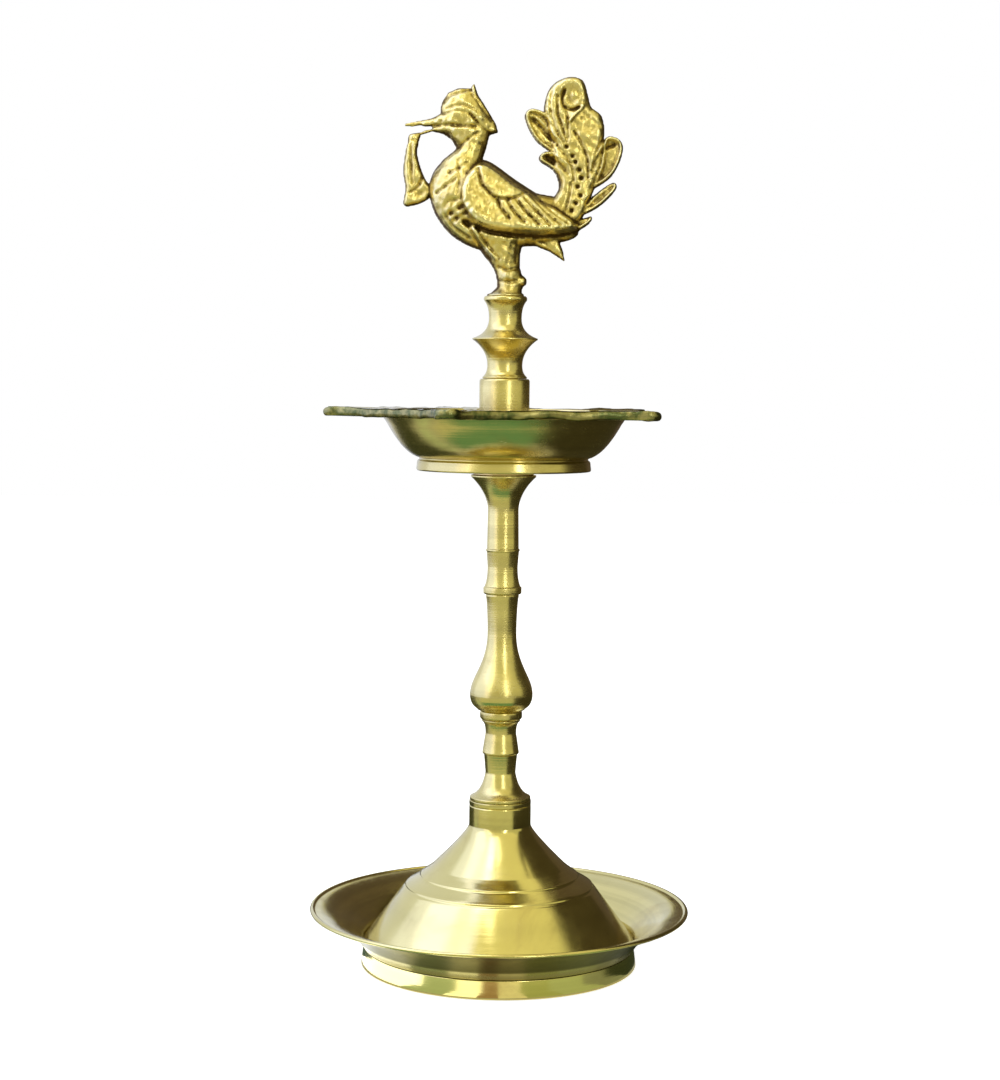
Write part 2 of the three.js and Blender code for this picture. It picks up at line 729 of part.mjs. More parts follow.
fit('foot_ring', footRing(), brass(polished, 0.25));
fit('base_dish', baseDish(), brass(polished, 0.22));
fit('base_bell', baseBell(), brass(polished, 0.2));
fit('stem_lower_stud', stud(neckTop - threadGrip, lowerBottom + threadGrip), brass(bar, 0.4));
fit('stem_lower', stemLower(), brass(satin, 0.28));
fit('stem_middle_stud', stud(lowerTop - threadGrip, middleBottom + threadGrip), brass(bar, 0.4));
fit('bead_ring', beadRing(), brass(satin, 0.28));
fit('stem_middle', stemMiddle(), brass(satin, 0.25));
fit('stem_upper_stud', stud(middleTop - threadGrip, upperBottom + threadGrip), brass(bar, 0.4));
fit('stem_upper', stemUpper(), brass(satin, 0.28));
fit('bowl_washer', bowlWasher(), brass(bar, 0.5));
fit('oil_bowl', oilBowl(), brass(satin, 0.3));
fit('finial_stud', stud(upperTop - threadGrip, balusterBottom + threadGrip), brass(bar, 0.4));
fit('finial_collar', finialCollar(), brass(satin, 0.3));
fit('finial_baluster', finialBaluster(), brass(satin, 0.3));
fit('bird', bird(), brass(cast, 0.48));

export default lamp;
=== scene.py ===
"""A standing oil lamp of cast and turned brass: a drip dish on a hollow base, a stem of three screwed
sections, an oil bowl with five spouts, and a bird on the finial."""

import math

import bmesh
import bpy
import numpy as np
from mathutils import Matrix, Vector


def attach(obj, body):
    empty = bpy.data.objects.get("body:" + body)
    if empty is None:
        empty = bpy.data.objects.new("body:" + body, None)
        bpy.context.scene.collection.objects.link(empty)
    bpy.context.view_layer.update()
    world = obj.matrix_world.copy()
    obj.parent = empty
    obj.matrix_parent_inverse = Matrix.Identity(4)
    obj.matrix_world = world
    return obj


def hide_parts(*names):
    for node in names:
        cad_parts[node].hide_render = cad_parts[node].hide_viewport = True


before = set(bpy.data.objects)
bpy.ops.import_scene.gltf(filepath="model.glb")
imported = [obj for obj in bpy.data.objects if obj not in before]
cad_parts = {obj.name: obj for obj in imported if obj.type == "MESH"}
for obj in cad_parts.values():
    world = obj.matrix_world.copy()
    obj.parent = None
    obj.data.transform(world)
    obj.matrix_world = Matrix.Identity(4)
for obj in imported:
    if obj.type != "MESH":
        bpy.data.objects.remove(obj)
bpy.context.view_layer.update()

# Studio. The lamp stands on a pale sheet in a tent of white cloth, with a large soft light from the left and
# a narrow one from the right. Boards and cards out of view give the brass its dark edges and bright bands.
camera = bpy.data.cameras.new("camera")
camera.lens = 70.2
camera.sensor_width = 36
viewpoint = bpy.data.objects.new("camera", camera)
bpy.context.scene.collection.objects.link(viewpoint)
viewpoint.matrix_world = (
    Matrix.Translation((-0.001, -0.723, 0.1995))
    @ Matrix.Rotation(math.radians(90 - 4.12), 4, "X")
    @ Matrix.Rotation(math.radians(0.61), 4, "Z")
)
bpy.context.scene.camera = viewpoint
bpy.context.scene.view_settings.view_transform = "Standard"


def plug(tree, node, inputs):
    """Fills a node's inputs from values, from sockets, and from nodes by their first output."""
    for key, value in inputs.items():
        if isinstance(value, bpy.types.Node):
            value = value.outputs[0]
        if isinstance(value, bpy.types.NodeSocket):
            tree.links.new(value, node.inputs[key])
        else:
            node.inputs[key].default_value = value


def wire(tree, kind, inputs=None, **settings):
    """A new node with its settings and its inputs."""
    node = tree.nodes.new(kind)
    for key, value in settings.items():
        setattr(node, key, value)
    plug(tree, node, inputs or {})
    return node


def maths(tree, operation, *values):
    """A sum on two or three inputs."""
    return wire(tree, "ShaderNodeMath", dict(enumerate(values)), operation=operation)


def blend(tree, share, one, other):
    """A colour between two."""
    one, other = ((*tone, 1) if isinstance(tone, tuple) else tone for tone in (one, other))
    return wire(tree, "ShaderNodeMix", {0: share, 6: one, 7: other}, data_type="RGBA").outputs[2]


def white_backdrop(tree, tone):
    """White to the camera, in metal and through glass, and a plain tone as light."""
    rays = wire(tree, "ShaderNodeLightPath").outputs
    seen = maths(tree, "MAXIMUM", rays["Is Camera Ray"], rays["Is Glossy Ray"])
    return blend(tree, maths(tree, "MAXIMUM", seen, rays["Is Transmission Ray"]), tone, (1, 1, 1))


sky = bpy.data.worlds.new("backdrop")
bpy.context.scene.world = sky
sky.use_nodes = True
tree = sky.node_tree
plug(tree, tree.nodes["Background"], {"Color": white_backdrop(tree, (0.62, 0.62, 0.58))})


def blank(name):
    """A material without nodes, and its empty tree."""
    material = bpy.data.materials.new(name)
    material.use_nodes = True
    material.node_tree.nodes.clear()
    return material, material.node_tree


paper, tree = blank("paper_floor")
diffuse = wire(tree, "ShaderNodeBsdfDiffuse", {"Color": (0.86, 0.86, 0.85, 1)})
glow = wire(tree, "ShaderNodeEmission", {
    "Strength": 0.85, "Color": white_backdrop(tree, (0.06, 0.065, 0.05)),
})
both = wire(tree, "ShaderNodeAddShader", {0: diffuse, 1: glow})
# The sheet has one side, so the lamp can also be seen from below.
underneath = wire(tree, "ShaderNodeNewGeometry").outputs["Backfacing"]
clear = wire(tree, "ShaderNodeBsdfTransparent")
one_sided = wire(tree, "ShaderNodeMixShader", {0: underneath, 1: both, 2: clear})
wire(tree, "ShaderNodeOutputMaterial", {"Surface": one_sided})


def board(name, corners, material):
    """A flat sheet through its corners, in metres."""
    mesh = bpy.data.meshes.new(name)
    mesh.from_pydata(corners, [], [tuple(range(len(corners)))])
    sheet = bpy.data.objects.new(name, mesh)
    sheet.data.materials.append(material)
    bpy.context.scene.collection.objects.link(sheet)
    return sheet


def level(half, height):
    """Corners of a level square over the lamp's axis."""
    return [(-half, -half, height), (half, -half, height), (half, half, height), (-half, half, height)]


board("paper", level(3, -0.0002), paper)


def flag(name, corners, tone):
    """A board that only shows in reflections."""
    dull, tree = blank(name)
    tint = wire(tree, "ShaderNodeEmission", {"Color": (*tone, 1)})
    wire(tree, "ShaderNodeOutputMaterial", {"Surface": tint})
    sheet = board(name, corners, dull)
    sheet.visible_camera = False
    sheet.visible_diffuse = False
    sheet.visible_transmission = False
    sheet.visible_shadow = False


def upright(angle_from, angle_to, distance, low, high):
    """Corners of an upright board, between two bearings in degrees, counted from the camera to its right."""
    (ax, ay), (bx, by) = (
        (distance * math.sin(math.radians(a)), -distance * math.cos(math.radians(a)))
        for a in (angle_from, angle_to)
    )
    return [(ax, ay, low), (bx, by, low), (bx, by, high), (ax, ay, high)]


card_step = 6


def sector(angle_from, angle_to, near, far, height=0.0006):
    """Corners of a level card on the floor, between two bearings and two distances from the lamp."""
    found = []
    steps = max(2, round((angle_to - angle_from) / card_step))
    for distance, order in ((near, range(steps + 1)), (far, range(steps, -1, -1))):
        for k in order:
            a = math.radians(angle_from + (angle_to - angle_from) * k / steps)
            found.append((distance * math.sin(a), -distance * math.cos(a), height))
    return found


tent_distance = 2.7
tent_top = 1.9
board_distance = 0.9
ceiling_height = 1.7
skirting_distance = 0.072
skirting_height = 0.012

for side in range(-135, 225, 90):
    wall = upright(side, side + 90, tent_distance, -0.01, tent_top + 0.05)
    flag(f"tent_side_{side + 135}", wall, (0.66, 0.65, 0.38))
flag("tent_roof", level(2, tent_top), (0.93, 0.88, 0.5))
flag("tent_floor", level(2, 0.0003), (0.5, 0.5, 0.42))
for name, angle_from, angle_to, low, high, tone in (
    ("white_left", -118, -62, -0.1, 0.55, (1.15, 1.27, 2.0)),
    ("white_left_high", -100, -62, 0.55, 1.7, (1.75, 1.9, 3.1)),
    ("white_left_edge", -118, -100, 0.55, 1.7, (1.15, 1.27, 2.0)),
    ("pale_left_front", -62, -46, -0.1, 1.7, (1.6, 1.6, 2.0)),
    ("pale_left_back", -179, -118, -0.1, 1.7, (0.8, 0.86, 1.1)),
    ("dark_right", 86, 140, -0.1, 1.3, (0.055, 0.042, 0.02)),
    ("dark_right_high", 79, 90, 0.5, 1.7, (0.055, 0.042, 0.02)),
    ("dark_right_back", 140, 180, -0.1, 1.3, (0.10, 0.075, 0.055)),
):
    flag(name, upright(angle_from, angle_to, board_distance, low, high), tone)
ceiling_outline = ((-1.7, -1.3), (-0.85, -1.3), (-0.14, -0.35), (-0.08, 1.3), (-1.7, 1.3))
flag("white_ceiling", [(x, y, ceiling_height) for x, y in ceiling_outline], (1.4, 1.5, 2.4))
for name, angle_from, angle_to, near, far, tone in (
    ("mat_green", -84, 48, 0.08, 0.163, (0.15, 0.33, 0.19)),
    ("mat_bright", -106, -93, 0.1, 0.27, (0.6, 0.75, 0.52)),
    ("paper_front", -84, 48, 0.163, 0.7, (0.66, 0.67, 0.42)),
    ("mat_left", -180, -112, 0.1, 0.6, (0.05, 0.055, 0.025)),
    ("mat_left_far", -180, -160, 0.6, 1.6, (0.05, 0.055, 0.025)),
    ("mat_right", 48, 180, 0.1, 1.5, (0.045, 0.04, 0.02)),
):
    flag(name, sector(angle_from, angle_to, near, far), tone)
flag("card_behind", sector(152, 174, 0.078, 0.12, 0.0009), (2.6, 2.7, 1.9))
for order, (angle_from, angle_to, tone) in enumerate((
    (-180, -142, (0.6, 0.6, 0.34)), (-142, -94, (0.05, 0.1, 0.1)), (-94, -44, (2.8, 2.9, 3.2)),
    (-44, -23, (0.5, 0.62, 0.42)), (-23, -9, (1.9, 1.9, 1.7)), (-9, 0, (0.42, 0.28, 0.16)),
    (0, 12, (0.95, 0.9, 0.65)), (12, 28, (0.45, 0.5, 0.22)), (28, 50, (0.5, 0.58, 0.34)),
    (50, 68, (0.3, 0.33, 0.24)), (68, 142, (0.04, 0.05, 0.025)), (142, 180, (0.6, 0.6, 0.34)),
)):
    flag(f"paper_streak_{order}", sector(angle_from, angle_to, 0.0485, skirting_distance), tone)
    flag(f"skirting_{order}", upright(angle_from, angle_to, skirting_distance, 0.0, skirting_height), tone)


def softbox(name, place, aim, width, height, power):
    """A rectangular lamp that points at its aim."""
    light = bpy.data.lights.new(name, "AREA")
    light.shape = "RECTANGLE"
    light.size = width
    light.size_y = height
    light.energy = power
    lamp = bpy.data.objects.new(name, light)
    bpy.context.scene.collection.objects.link(lamp)
    away = (Vector(aim) - Vector(place)).to_track_quat("-Z", "Y")
    lamp.matrix_world = Matrix.Translation(place) @ away.to_matrix().to_4x4()


softbox("key_left", (-0.95, -0.55, 0.62), (0, 0, 0.14), 0.75, 0.95, 5)
softbox("strip_right", (0.42, -1.1, 0.55), (0, 0, 0.16), 0.12, 0.9, 2.2)
softbox("top", (-0.25, -0.5, 1.35), (0, 0, 0.1), 0.5, 0.5, 1.5)

# Foot ring. A cast ring, turned on the outside, on which the whole lamp stands. Each turned piece is one
# outline swept round the axis. Its brass has fine tool lines, a bloom, and painted shade where it looks down.
lathe_sides = 160
sharp_angle = math.radians(38)
downward_from = 0.4
downward_to = 0.7
corner_steps = 4
longest_cut = 0.45
shortest_cut = 0.02


def fillet(corners):
    """The outline with each corner (radius, height, rounding) rounded off, by less than half a side."""
    rounded = []
    count = len(corners)
    for i, (r, z, cut) in enumerate(corners):
        here = np.array((r, z))
        back = np.array(corners[i - 1][:2]) - here
        ahead = np.array(corners[(i + 1) % count][:2]) - here
        reach = min(cut, longest_cut * np.linalg.norm(back), longest_cut * np.linalg.norm(ahead))
        if reach < shortest_cut:
            rounded.append((r, z))
            continue
        start = here + back / np.linalg.norm(back) * reach
        end = here + ahead / np.linalg.norm(ahead) * reach
        for k in range(corner_steps + 1):
            t = k / corner_steps
            rounded.append(tuple((1 - t) ** 2 * start + 2 * t * (1 - t) * here + t * t * end))
    return rounded


def sweep(points, steps):
    """Points on a quadratic or cubic curve through its control points, without its two ends."""
    points = [np.array(p, float) for p in points]
    found = []
    for k in range(1, steps):
        line = points
        t = k / steps
        while len(line) > 1:
            line = [(1 - t) * a + t * b for a, b in zip(line, line[1:])]
        found.append((*line[0], 0))
    return found


def placed(name, mesh):
    """A piece with this mesh, in the scene."""
    piece = bpy.data.objects.new(name, mesh)
    bpy.context.scene.collection.objects.link(piece)
    return piece


def turn(name, corners, sides=lathe_sides):
    """A turned piece from its closed outline in millimetres: up the outside, then down the inside. Each
    point carries a share of painted shade, which is 1 where a face looks down."""
    outline = fillet(corners)
    work = bmesh.new()
    # Painted shade: each point gets a share that darkens its colour where the face looks down.
    painted_underside_shade = work.verts.layers.float.new("painted_underside_shade")
    around = [(math.cos(2 * math.pi * k / sides), math.sin(2 * math.pi * k / sides)) for k in range(sides)]
    rings = []
    for i, (r, z) in enumerate(outline):
        if r < 0.01:
            rings.append([work.verts.new((0, 0, z / 1000))] * sides)
            continue
        rings.append([work.verts.new((r / 1000 * x, r / 1000 * y, z / 1000)) for x, y in around])
        run = np.array(outline[(i + 1) % len(outline)]) - np.array(outline[i - 1])
        downward = run[0] / np.linalg.norm(run)
        share = (downward - downward_from) / (downward_to - downward_from)
        for corner in rings[-1]:
            corner[painted_underside_shade] = min(max(share, 0.0), 1.0)
    for low, high in zip(rings, rings[1:] + rings[:1]):
        for k in range(sides):
            n = (k + 1) % sides
            loop = list(dict.fromkeys((low[k], low[n], high[n], high[k])))
            if len(loop) > 2:
                work.faces.new(loop)
    mesh = bpy.data.meshes.new(name)
    work.to_mesh(mesh)
    work.free()
    mesh.shade_smooth()
    mesh.set_sharp_from_angle(angle=sharp_angle)
    return placed(name, mesh)


def group(name, kind, inputs, outputs):
    """An empty node group and its two ends. An input has a number to start with, or else a kind of socket."""
    made = bpy.data.node_groups.new(name, kind)
    result = "NodeSocketGeometry" if kind == "GeometryNodeTree" else "NodeSocketFloat"
    for label in outputs:
        made.interface.new_socket(label, in_out="OUTPUT", socket_type=result)
    for label, value in inputs.items():
        if isinstance(value, str):
            made.interface.new_socket(label, in_out="INPUT", socket_type=value)
            continue
        number = "NodeSocketInt" if isinstance(value, int) else "NodeSocketFloat"
        made.interface.new_socket(label, in_out="INPUT", socket_type=number).default_value = value
    return made, made.nodes.new("NodeGroupInput"), made.nodes.new("NodeGroupOutput")


def noise(tree, place, scale, detail, roughness=0.5, **more):
    """A soft noise at a place."""
    return wire(tree, "ShaderNodeTexNoise", {
        "Vector": place, "Scale": scale, "Detail": detail, "Roughness": roughness, **more,
    })


def spread(tree, value, old, new=(0.0, 1.0), **settings):
    """A value moved from one range to another."""
    return wire(tree, "ShaderNodeMapRange", {
        "Value": value, "From Min": old[0], "From Max": old[1], "To Min": new[0], "To Max": new[1],
    }, **settings)


def lathe_lines():
    """Fine rings left by the turning tool: a height and a mask, from the place along and off the axis."""
    made, enter, leave = group(
        "lathe_lines", "ShaderNodeTree", {"Spacing": 0.0006, "Wander": 0.35}, ("Height", "Streak")
    )
    spot = wire(made, "ShaderNodeTexCoord").outputs["Object"]
    x, y, z = wire(made, "ShaderNodeSeparateXYZ", {0: spot}).outputs
    squares = maths(made, "MULTIPLY_ADD", y, y, maths(made, "MULTIPLY", x, x))
    along = maths(made, "MULTIPLY_ADD", maths(made, "POWER", squares, 0.5), 0.83, z)
    rings = maths(made, "DIVIDE", along, enter.outputs["Spacing"])
    fine, broad = (
        wire(made, "ShaderNodeTexNoise", {"W": rings, "Scale": size, "Detail": detail}, noise_dimensions="1D")
        for size, detail in ((1.0, 3.0), (0.13, 2.0))
    )
    drift = noise(made, spot, 60.0, 2.0)
    height = maths(made, "MULTIPLY_ADD", drift, enter.outputs["Wander"], fine)
    plug(made, leave, {"Height": height, "Streak": broad})
    return made


def age():
    """Hand-polished brass over time: a brown bloom in clouds, smears of the cloth, and fine scratches."""
    made, enter, leave = group("age", "ShaderNodeTree", {"Scale": 1.0}, ("Bloom", "Smear", "Scratch"))
    spot = wire(made, "ShaderNodeTexCoord").outputs["Object"]
    cloud_size, smear_size = (maths(made, "MULTIPLY", enter.outputs["Scale"], size) for size in (42.0, 130.0))
    cloud = noise(made, spot, cloud_size, 6.0, 0.62, Distortion=0.6)
    flow = wire(made, "ShaderNodeMapping", {"Vector": spot, "Scale": (900.0, 900.0, 4200.0)})
    plug(made, leave, {
        "Bloom": spread(made, cloud, (0.48, 0.78), interpolation_type="SMOOTHSTEP"),
        "Smear": noise(made, spot, smear_size, 4.0, 0.7),
        "Scratch": spread(made, noise(made, flow, 1.0, 1.0), (0.62, 0.74), interpolation_type="SMOOTHSTEP"),
    })
    return made


lathe_lines_group = lathe_lines()
age_group = age()


def new_metal(name):
    """A metal to be worked on, its node tree and its shader."""
    metal = bpy.data.materials.new(name)
    metal.use_nodes = True
    shader = metal.node_tree.nodes["Principled BSDF"]
    shader.inputs["Metallic"].default_value = 1.0
    return metal, metal.node_tree, shader


def marked(tree, name):
    """The value that a piece's own mesh carries under this name."""
    return wire(tree, "ShaderNodeAttribute", attribute_name=name).outputs["Fac"]


def turned_brass(name, bright, dull, gloss, line_height, bloom_share=0.35, underside_shade_strength=0.0):
    """Brass off the lathe: tool lines in the height and the gloss, and a thin bloom over the colour."""
    metal, tree, shader = new_metal(name)
    lines = wire(tree, "ShaderNodeGroup", node_tree=lathe_lines_group).outputs
    years = wire(tree, "ShaderNodeGroup", node_tree=age_group).outputs
    shade = maths(tree, "MULTIPLY", years["Bloom"], bloom_share)
    streak = spread(tree, lines["Streak"], (0.3, 0.7), (0.9, 1.06))
    colour = blend(tree, shade, bright, dull)
    toned = wire(tree, "ShaderNodeVectorMath", {0: colour, "Scale": streak}, operation="SCALE").outputs[0]
    # Painted shade: faces that look down are darkened towards near black, and made rougher.
    underside_shade_share = maths(tree, "MULTIPLY", marked(tree, "painted_underside_shade"), underside_shade_strength)
    rub = spread(tree, years["Smear"], (0.3, 0.75), (gloss, gloss + 0.1))
    mark = maths(tree, "MULTIPLY_ADD", years["Scratch"], 0.03, rub)
    grey = maths(tree, "MULTIPLY_ADD", shade, 0.25, mark)
    plug(tree, shader, {
        "Base Color": blend(tree, underside_shade_share, toned, (0.05, 0.052, 0.015)),
        "Roughness": maths(tree, "MULTIPLY_ADD", underside_shade_share, 0.22, grey),
        "Normal": wire(tree, "ShaderNodeBump", {"Height": lines["Height"], "Distance": line_height}),
        "Anisotropic": 0.45,
    })
    return metal


# The polished brass has painted shade, near black, on the faces that look down.
polished_brass = turned_brass(
    "polished_brass", (0.735, 0.635, 0.245), (0.40, 0.28, 0.09), gloss=0.12, line_height=0.000012, underside_shade_strength=0.9
)


def dress(piece, material, body, slot, *stands_for):
    """Gives a piece its metal, the body that it rides and the solids that it stands for; the slot is not
    used.
    """
    piece.data.materials.clear()
    piece.data.materials.append(material)
    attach(piece, body)
    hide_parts(*stands_for)


def lathe(name, brass, body, slot, node, corners, sides=lathe_sides):
    """A turned piece in its brass."""
    dress(turn(name, corners, sides), brass, body, slot, node)


lathe("foot_ring_turned", polished_brass, "base", "polished_brass", "foot_ring", [
    (44.3, 0.0, 0.3), (47.8, 0.0, 0.3), (47.0, 6.32, 0.35), (44.3, 6.32, 0.3),
])

# Drip dish. It lies on the foot ring, to which it is soldered, and catches the oil that the spouts drop. The
# lip is rolled and bright, the seat flat, and the side flares like a saucer.
lathe("drip_dish_turned", polished_brass, "base", "polished_brass", "base_dish", [
    (42.2, 6.38, 0.2), (47.0, 6.38, 0.3), (49.0, 9.3, 1.0),
    *sweep([(49.0, 9.3), (55.65, 16.35), (65.2, 18.9)], 18),
    (65.4, 18.7, 0.4), (65.7, 19.3, 0.5), (65.2, 20.0, 0.5), (64.5, 19.9, 0.4),
    (64.0, 19.45, 0.3),
    *sweep([(64.0, 19.45), (54.85, 17.95), (47.4, 10.1)], 18),
    (47.4, 10.1, 0.8), (46.9, 8.22, 0.4), (42.2, 8.22, 0.2),
])

# Bell. Cast hollow and turned to a mirror on the outside: a straight skirt, two pairs of fine steps that
# catch the light as rings, and a sweep up to the neck, where a groove is cut.
lathe("bell_turned", polished_brass, "base", "polished_brass", "base_bell", [
    (44.2, 8.28, 0.3), (46.6, 8.28, 0.3), (46.55, 8.9, 0.2),
    (33.35, 26.6, 0.4), (32.6, 27.2, 0.3), (32.5, 27.75, 0.25), (31.6, 28.35, 0.35),
    (28.0, 30.35, 0.4), (27.5, 30.75, 0.25), (27.35, 31.2, 0.25), (26.8, 31.5, 0.3),
    (24.8, 32.9, 0.5),
    (23.4, 34.0, 0.2), *sweep([(23.4, 34.0), (10.7, 46.3), (10.7, 48.7)], 30),
    (10.7, 48.7, 0.3),
    (10.7, 55.1, 0.1), (10.52, 55.4, 0.1), (10.7, 55.7, 0.1),
    (10.7, 57.22, 0.3), (3.35, 57.22, 0.2), (3.35, 45.1, 0.2),
    (18.6, 31.6, 1.0), (30.6, 24.6, 1.0),
], 200)

# Lower section of the stem. Turned from bar in one piece, with a flared foot over the bell's neck, a knop,
# and a cup that takes the bead ring. Its finish is a satin one, off the tool.
satin_brass = turned_brass(
    "satin_brass", (0.735, 0.62, 0.24), (0.38, 0.26, 0.08), gloss=0.2, line_height=0.00003, bloom_share=0.45
)


def bored(bottom, top, outside):
    """A section of the stem: its outside, and a blind hole at each end for a stud."""
    bore = 3.35
    deep = 10
    return [
        (0, bottom + deep, 0), (bore, bottom + deep, 0.1), (bore, bottom, 0.25), *outside,
        (bore, top, 0.25), (bore, top - deep, 0.1), (0, top - deep, 0),
    ]


lathe("lower_section", satin_brass, "lower_stem", "satin_brass", "stem_lower", bored(57.28, 85.22, [
    (10.5, 57.28, 0.25), (10.5, 58.4, 0.3), (9.7, 58.75, 0.2),
    *sweep([(9.6, 58.8), (6.3, 60.6), (5.2, 66.8)], 16),
    (5.2, 66.8, 0.5), (5.75, 73.2, 0.15), (6.3, 73.45, 0.25), (6.3, 74.1, 0.2),
    *sweep([(6.25, 74.2), (5.9, 77.0), (5.3, 80.5)], 10),
    (5.3, 80.5, 0.5), *sweep([(5.3, 80.5), (5.35, 83.9), (6.4, 84.6)], 8),
    (6.6, 84.7, 0.15), (6.6, 85.22, 0.15),
]))

# Bead ring. A plain turned ring of the same brass, with a rounded edge and a clear hole for the stud. It lies
# loose between the lower and middle sections, which clamp it.
lathe("bead_ring_turned", satin_brass, "middle_screw", "satin_brass", "bead_ring", [
    (3.35, 85.28, 0.15), (6.7, 85.28, 0.3), (7.3, 85.9, 0.5),
    (7.3, 88.0, 0.5), (6.7, 88.62, 0.3), (3.35, 88.62, 0.15),
])

# Middle section of the stem. Turned from bar like the lower one: a pear-shaped belly that draws in to a long
# waist. It screws down over the studs at its two ends.
lathe("middle_section", satin_brass, "middle_stem", "satin_brass", "stem_middle", bored(88.68, 128.82, [
    (8.1, 88.68, 0.2), (8.5, 89.2, 0.3),
    *sweep([(8.5, 89.2), (10.85, 90.6), (10.85, 94.0)], 12),
    (10.85, 94.0, 0.3),
    *sweep([(10.85, 94.0), (10.85, 100.2), (5.0, 104.3), (5.0, 115.5)], 30),
    (5.0, 115.5, 0.5), *sweep([(5.0, 115.5), (5.0, 122.1), (5.6, 128.0)], 10),
    (5.7, 128.1, 0.15), (5.7, 128.82, 0.15),
]))

# Upper section of the stem. Turned from bar: a knop, a waist with a fine ridge, and a trumpet that carries
# the bowl. The finial's long stud screws into its top.
lathe("upper_section", satin_brass, "upper_stem", "satin_brass", "stem_upper", bored(128.88, 169.82, [
    (6.3, 128.88, 0.15), (6.6, 129.3, 0.2), (6.6, 131.2, 0.3), (6.2, 131.45, 0.15),
    *sweep([(6.2, 131.5), (5.2, 133.7), (5.2, 138.4)], 12),
    (5.2, 138.4, 0.4), (5.6, 143.6, 0.2), (5.85, 143.8, 0.2), (5.8, 144.3, 0.2), (5.5, 144.5, 0.2),
    (5.3, 157.5, 0.5), *sweep([(5.3, 157.5), (5.3, 163.6), (11.0, 169.1)], 20),
    (11.2, 169.2, 0.15), (11.2, 169.82, 0.15),
]))

# Studs. Bar cut to length and threaded at both ends: each joins two sections and lets them unscrew. The
# thread is a ridge carried up a spiral round a plain core.
plain_brass = turned_brass(
    "plain_brass", (0.72, 0.55, 0.24), (0.36, 0.25, 0.1), gloss=0.34, line_height=0.00002, bloom_share=0.6
)


def threaded_rod():
    """A core with a spiral ridge of two flanks, from its radius, pitch, depth, length and lowest point."""
    rod, enter, leave = group("threaded_rod", "GeometryNodeTree", {
        "Radius": 0.0031, "Pitch": 0.0015, "Depth": 0.0007, "Length": 0.02, "Bottom": 0.0,
        "Brass": "NodeSocketMaterial",
    }, ("Geometry",))
    radius, pitch, depth, length, bottom, brass = list(enter.outputs)[:6]
    root = maths(rod, "SUBTRACT", radius, depth)
    ridge_length = maths(rod, "SUBTRACT", length, pitch)
    spiral = wire(rod, "GeometryNodeCurveSpiral", {
        "Resolution": 28, "Rotations": maths(rod, "DIVIDE", ridge_length, pitch),
        "Start Radius": root, "End Radius": root, "Height": ridge_length,
    })
    half_ridge = maths(rod, "MULTIPLY", pitch, 0.46)
    sunk = maths(rod, "MULTIPLY", depth, -0.25)
    low = wire(rod, "ShaderNodeCombineXYZ", {0: sunk, 1: maths(rod, "MULTIPLY", half_ridge, -1.0)})
    crest = wire(rod, "ShaderNodeCombineXYZ", {0: depth})
    high = wire(rod, "ShaderNodeCombineXYZ", {0: sunk, 1: half_ridge})
    thread = wire(rod, "GeometryNodeJoinGeometry")
    for start, end in ((low, crest), (crest, high)):
        line = wire(rod, "GeometryNodeCurvePrimitiveLine", {"Start": start, "End": end})
        flank = wire(rod, "GeometryNodeCurveToMesh", {"Curve": spiral, "Profile Curve": line})
        plug(rod, thread, {0: flank})
    core = wire(rod, "GeometryNodeMeshCylinder", {
        "Vertices": 48, "Side Segments": 1, "Radius": root, "Depth": length,
    })
    whole = wire(rod, "GeometryNodeJoinGeometry")
    for shape, height in ((core, length), (thread, pitch)):
        place = wire(rod, "ShaderNodeCombineXYZ", {2: maths(rod, "MULTIPLY_ADD", height, 0.5, bottom)})
        raised = wire(rod, "GeometryNodeTransform", {"Geometry": shape, "Translation": place})
        plug(rod, whole, {0: raised})
    real = wire(rod, "GeometryNodeRealizeInstances", {"Geometry": whole})
    painted = wire(rod, "GeometryNodeSetMaterial", {"Geometry": real, "Material": brass})
    plug(rod, leave, {0: painted})
    return rod


threaded_rod_tree = threaded_rod()


def grown(name, tree, start=None, **values):
    """The piece that a tree makes with these inputs, from nothing or from a mesh to start with."""
    seed = placed(name + "_seed", start or bpy.data.meshes.new(name + "_seed"))
    modifier = seed.modifiers.new("made", "NODES")
    modifier.node_group = tree
    for item in tree.interface.items_tree:
        if item.in_out == "INPUT" and item.name in values:
            modifier[item.identifier] = values[item.name]
    bpy.context.view_layer.update()
    mesh = bpy.data.meshes.new_from_object(seed.evaluated_get(bpy.context.evaluated_depsgraph_get()))
    mesh.name = name
    bpy.data.objects.remove(seed)
    return placed(name, mesh)


for name, node, body, bottom, top in (
    ("lower_stud", "stem_lower_stud", "lower_screw", 48.1, 66.4),
    ("middle_stud", "stem_middle_stud", "middle_screw", 76.1, 97.8),
    ("upper_stud", "stem_upper_stud", "upper_screw", 119.7, 138.0),
    ("finial_rod", "finial_stud", "finial_screw", 160.7, 211.9),
):
    length = (top - bottom) / 1000
    stud = grown(name, threaded_rod_tree, Bottom=bottom / 1000, Length=length, Brass=plain_brass)
    dress(stud, plain_brass, body, "plain_brass", node)

# Washer. A plain flat ring of brass between the upper section and the bowl. It keeps the oil off the thread
# and lets the bowl turn.
lathe("washer", plain_brass, "bowl", "plain_brass", "bowl_washer", [
    (3.35, 169.88, 0.1), (10.4, 169.88, 0.2), (10.4, 171.12, 0.2), (3.35, 171.12, 0.1),
])

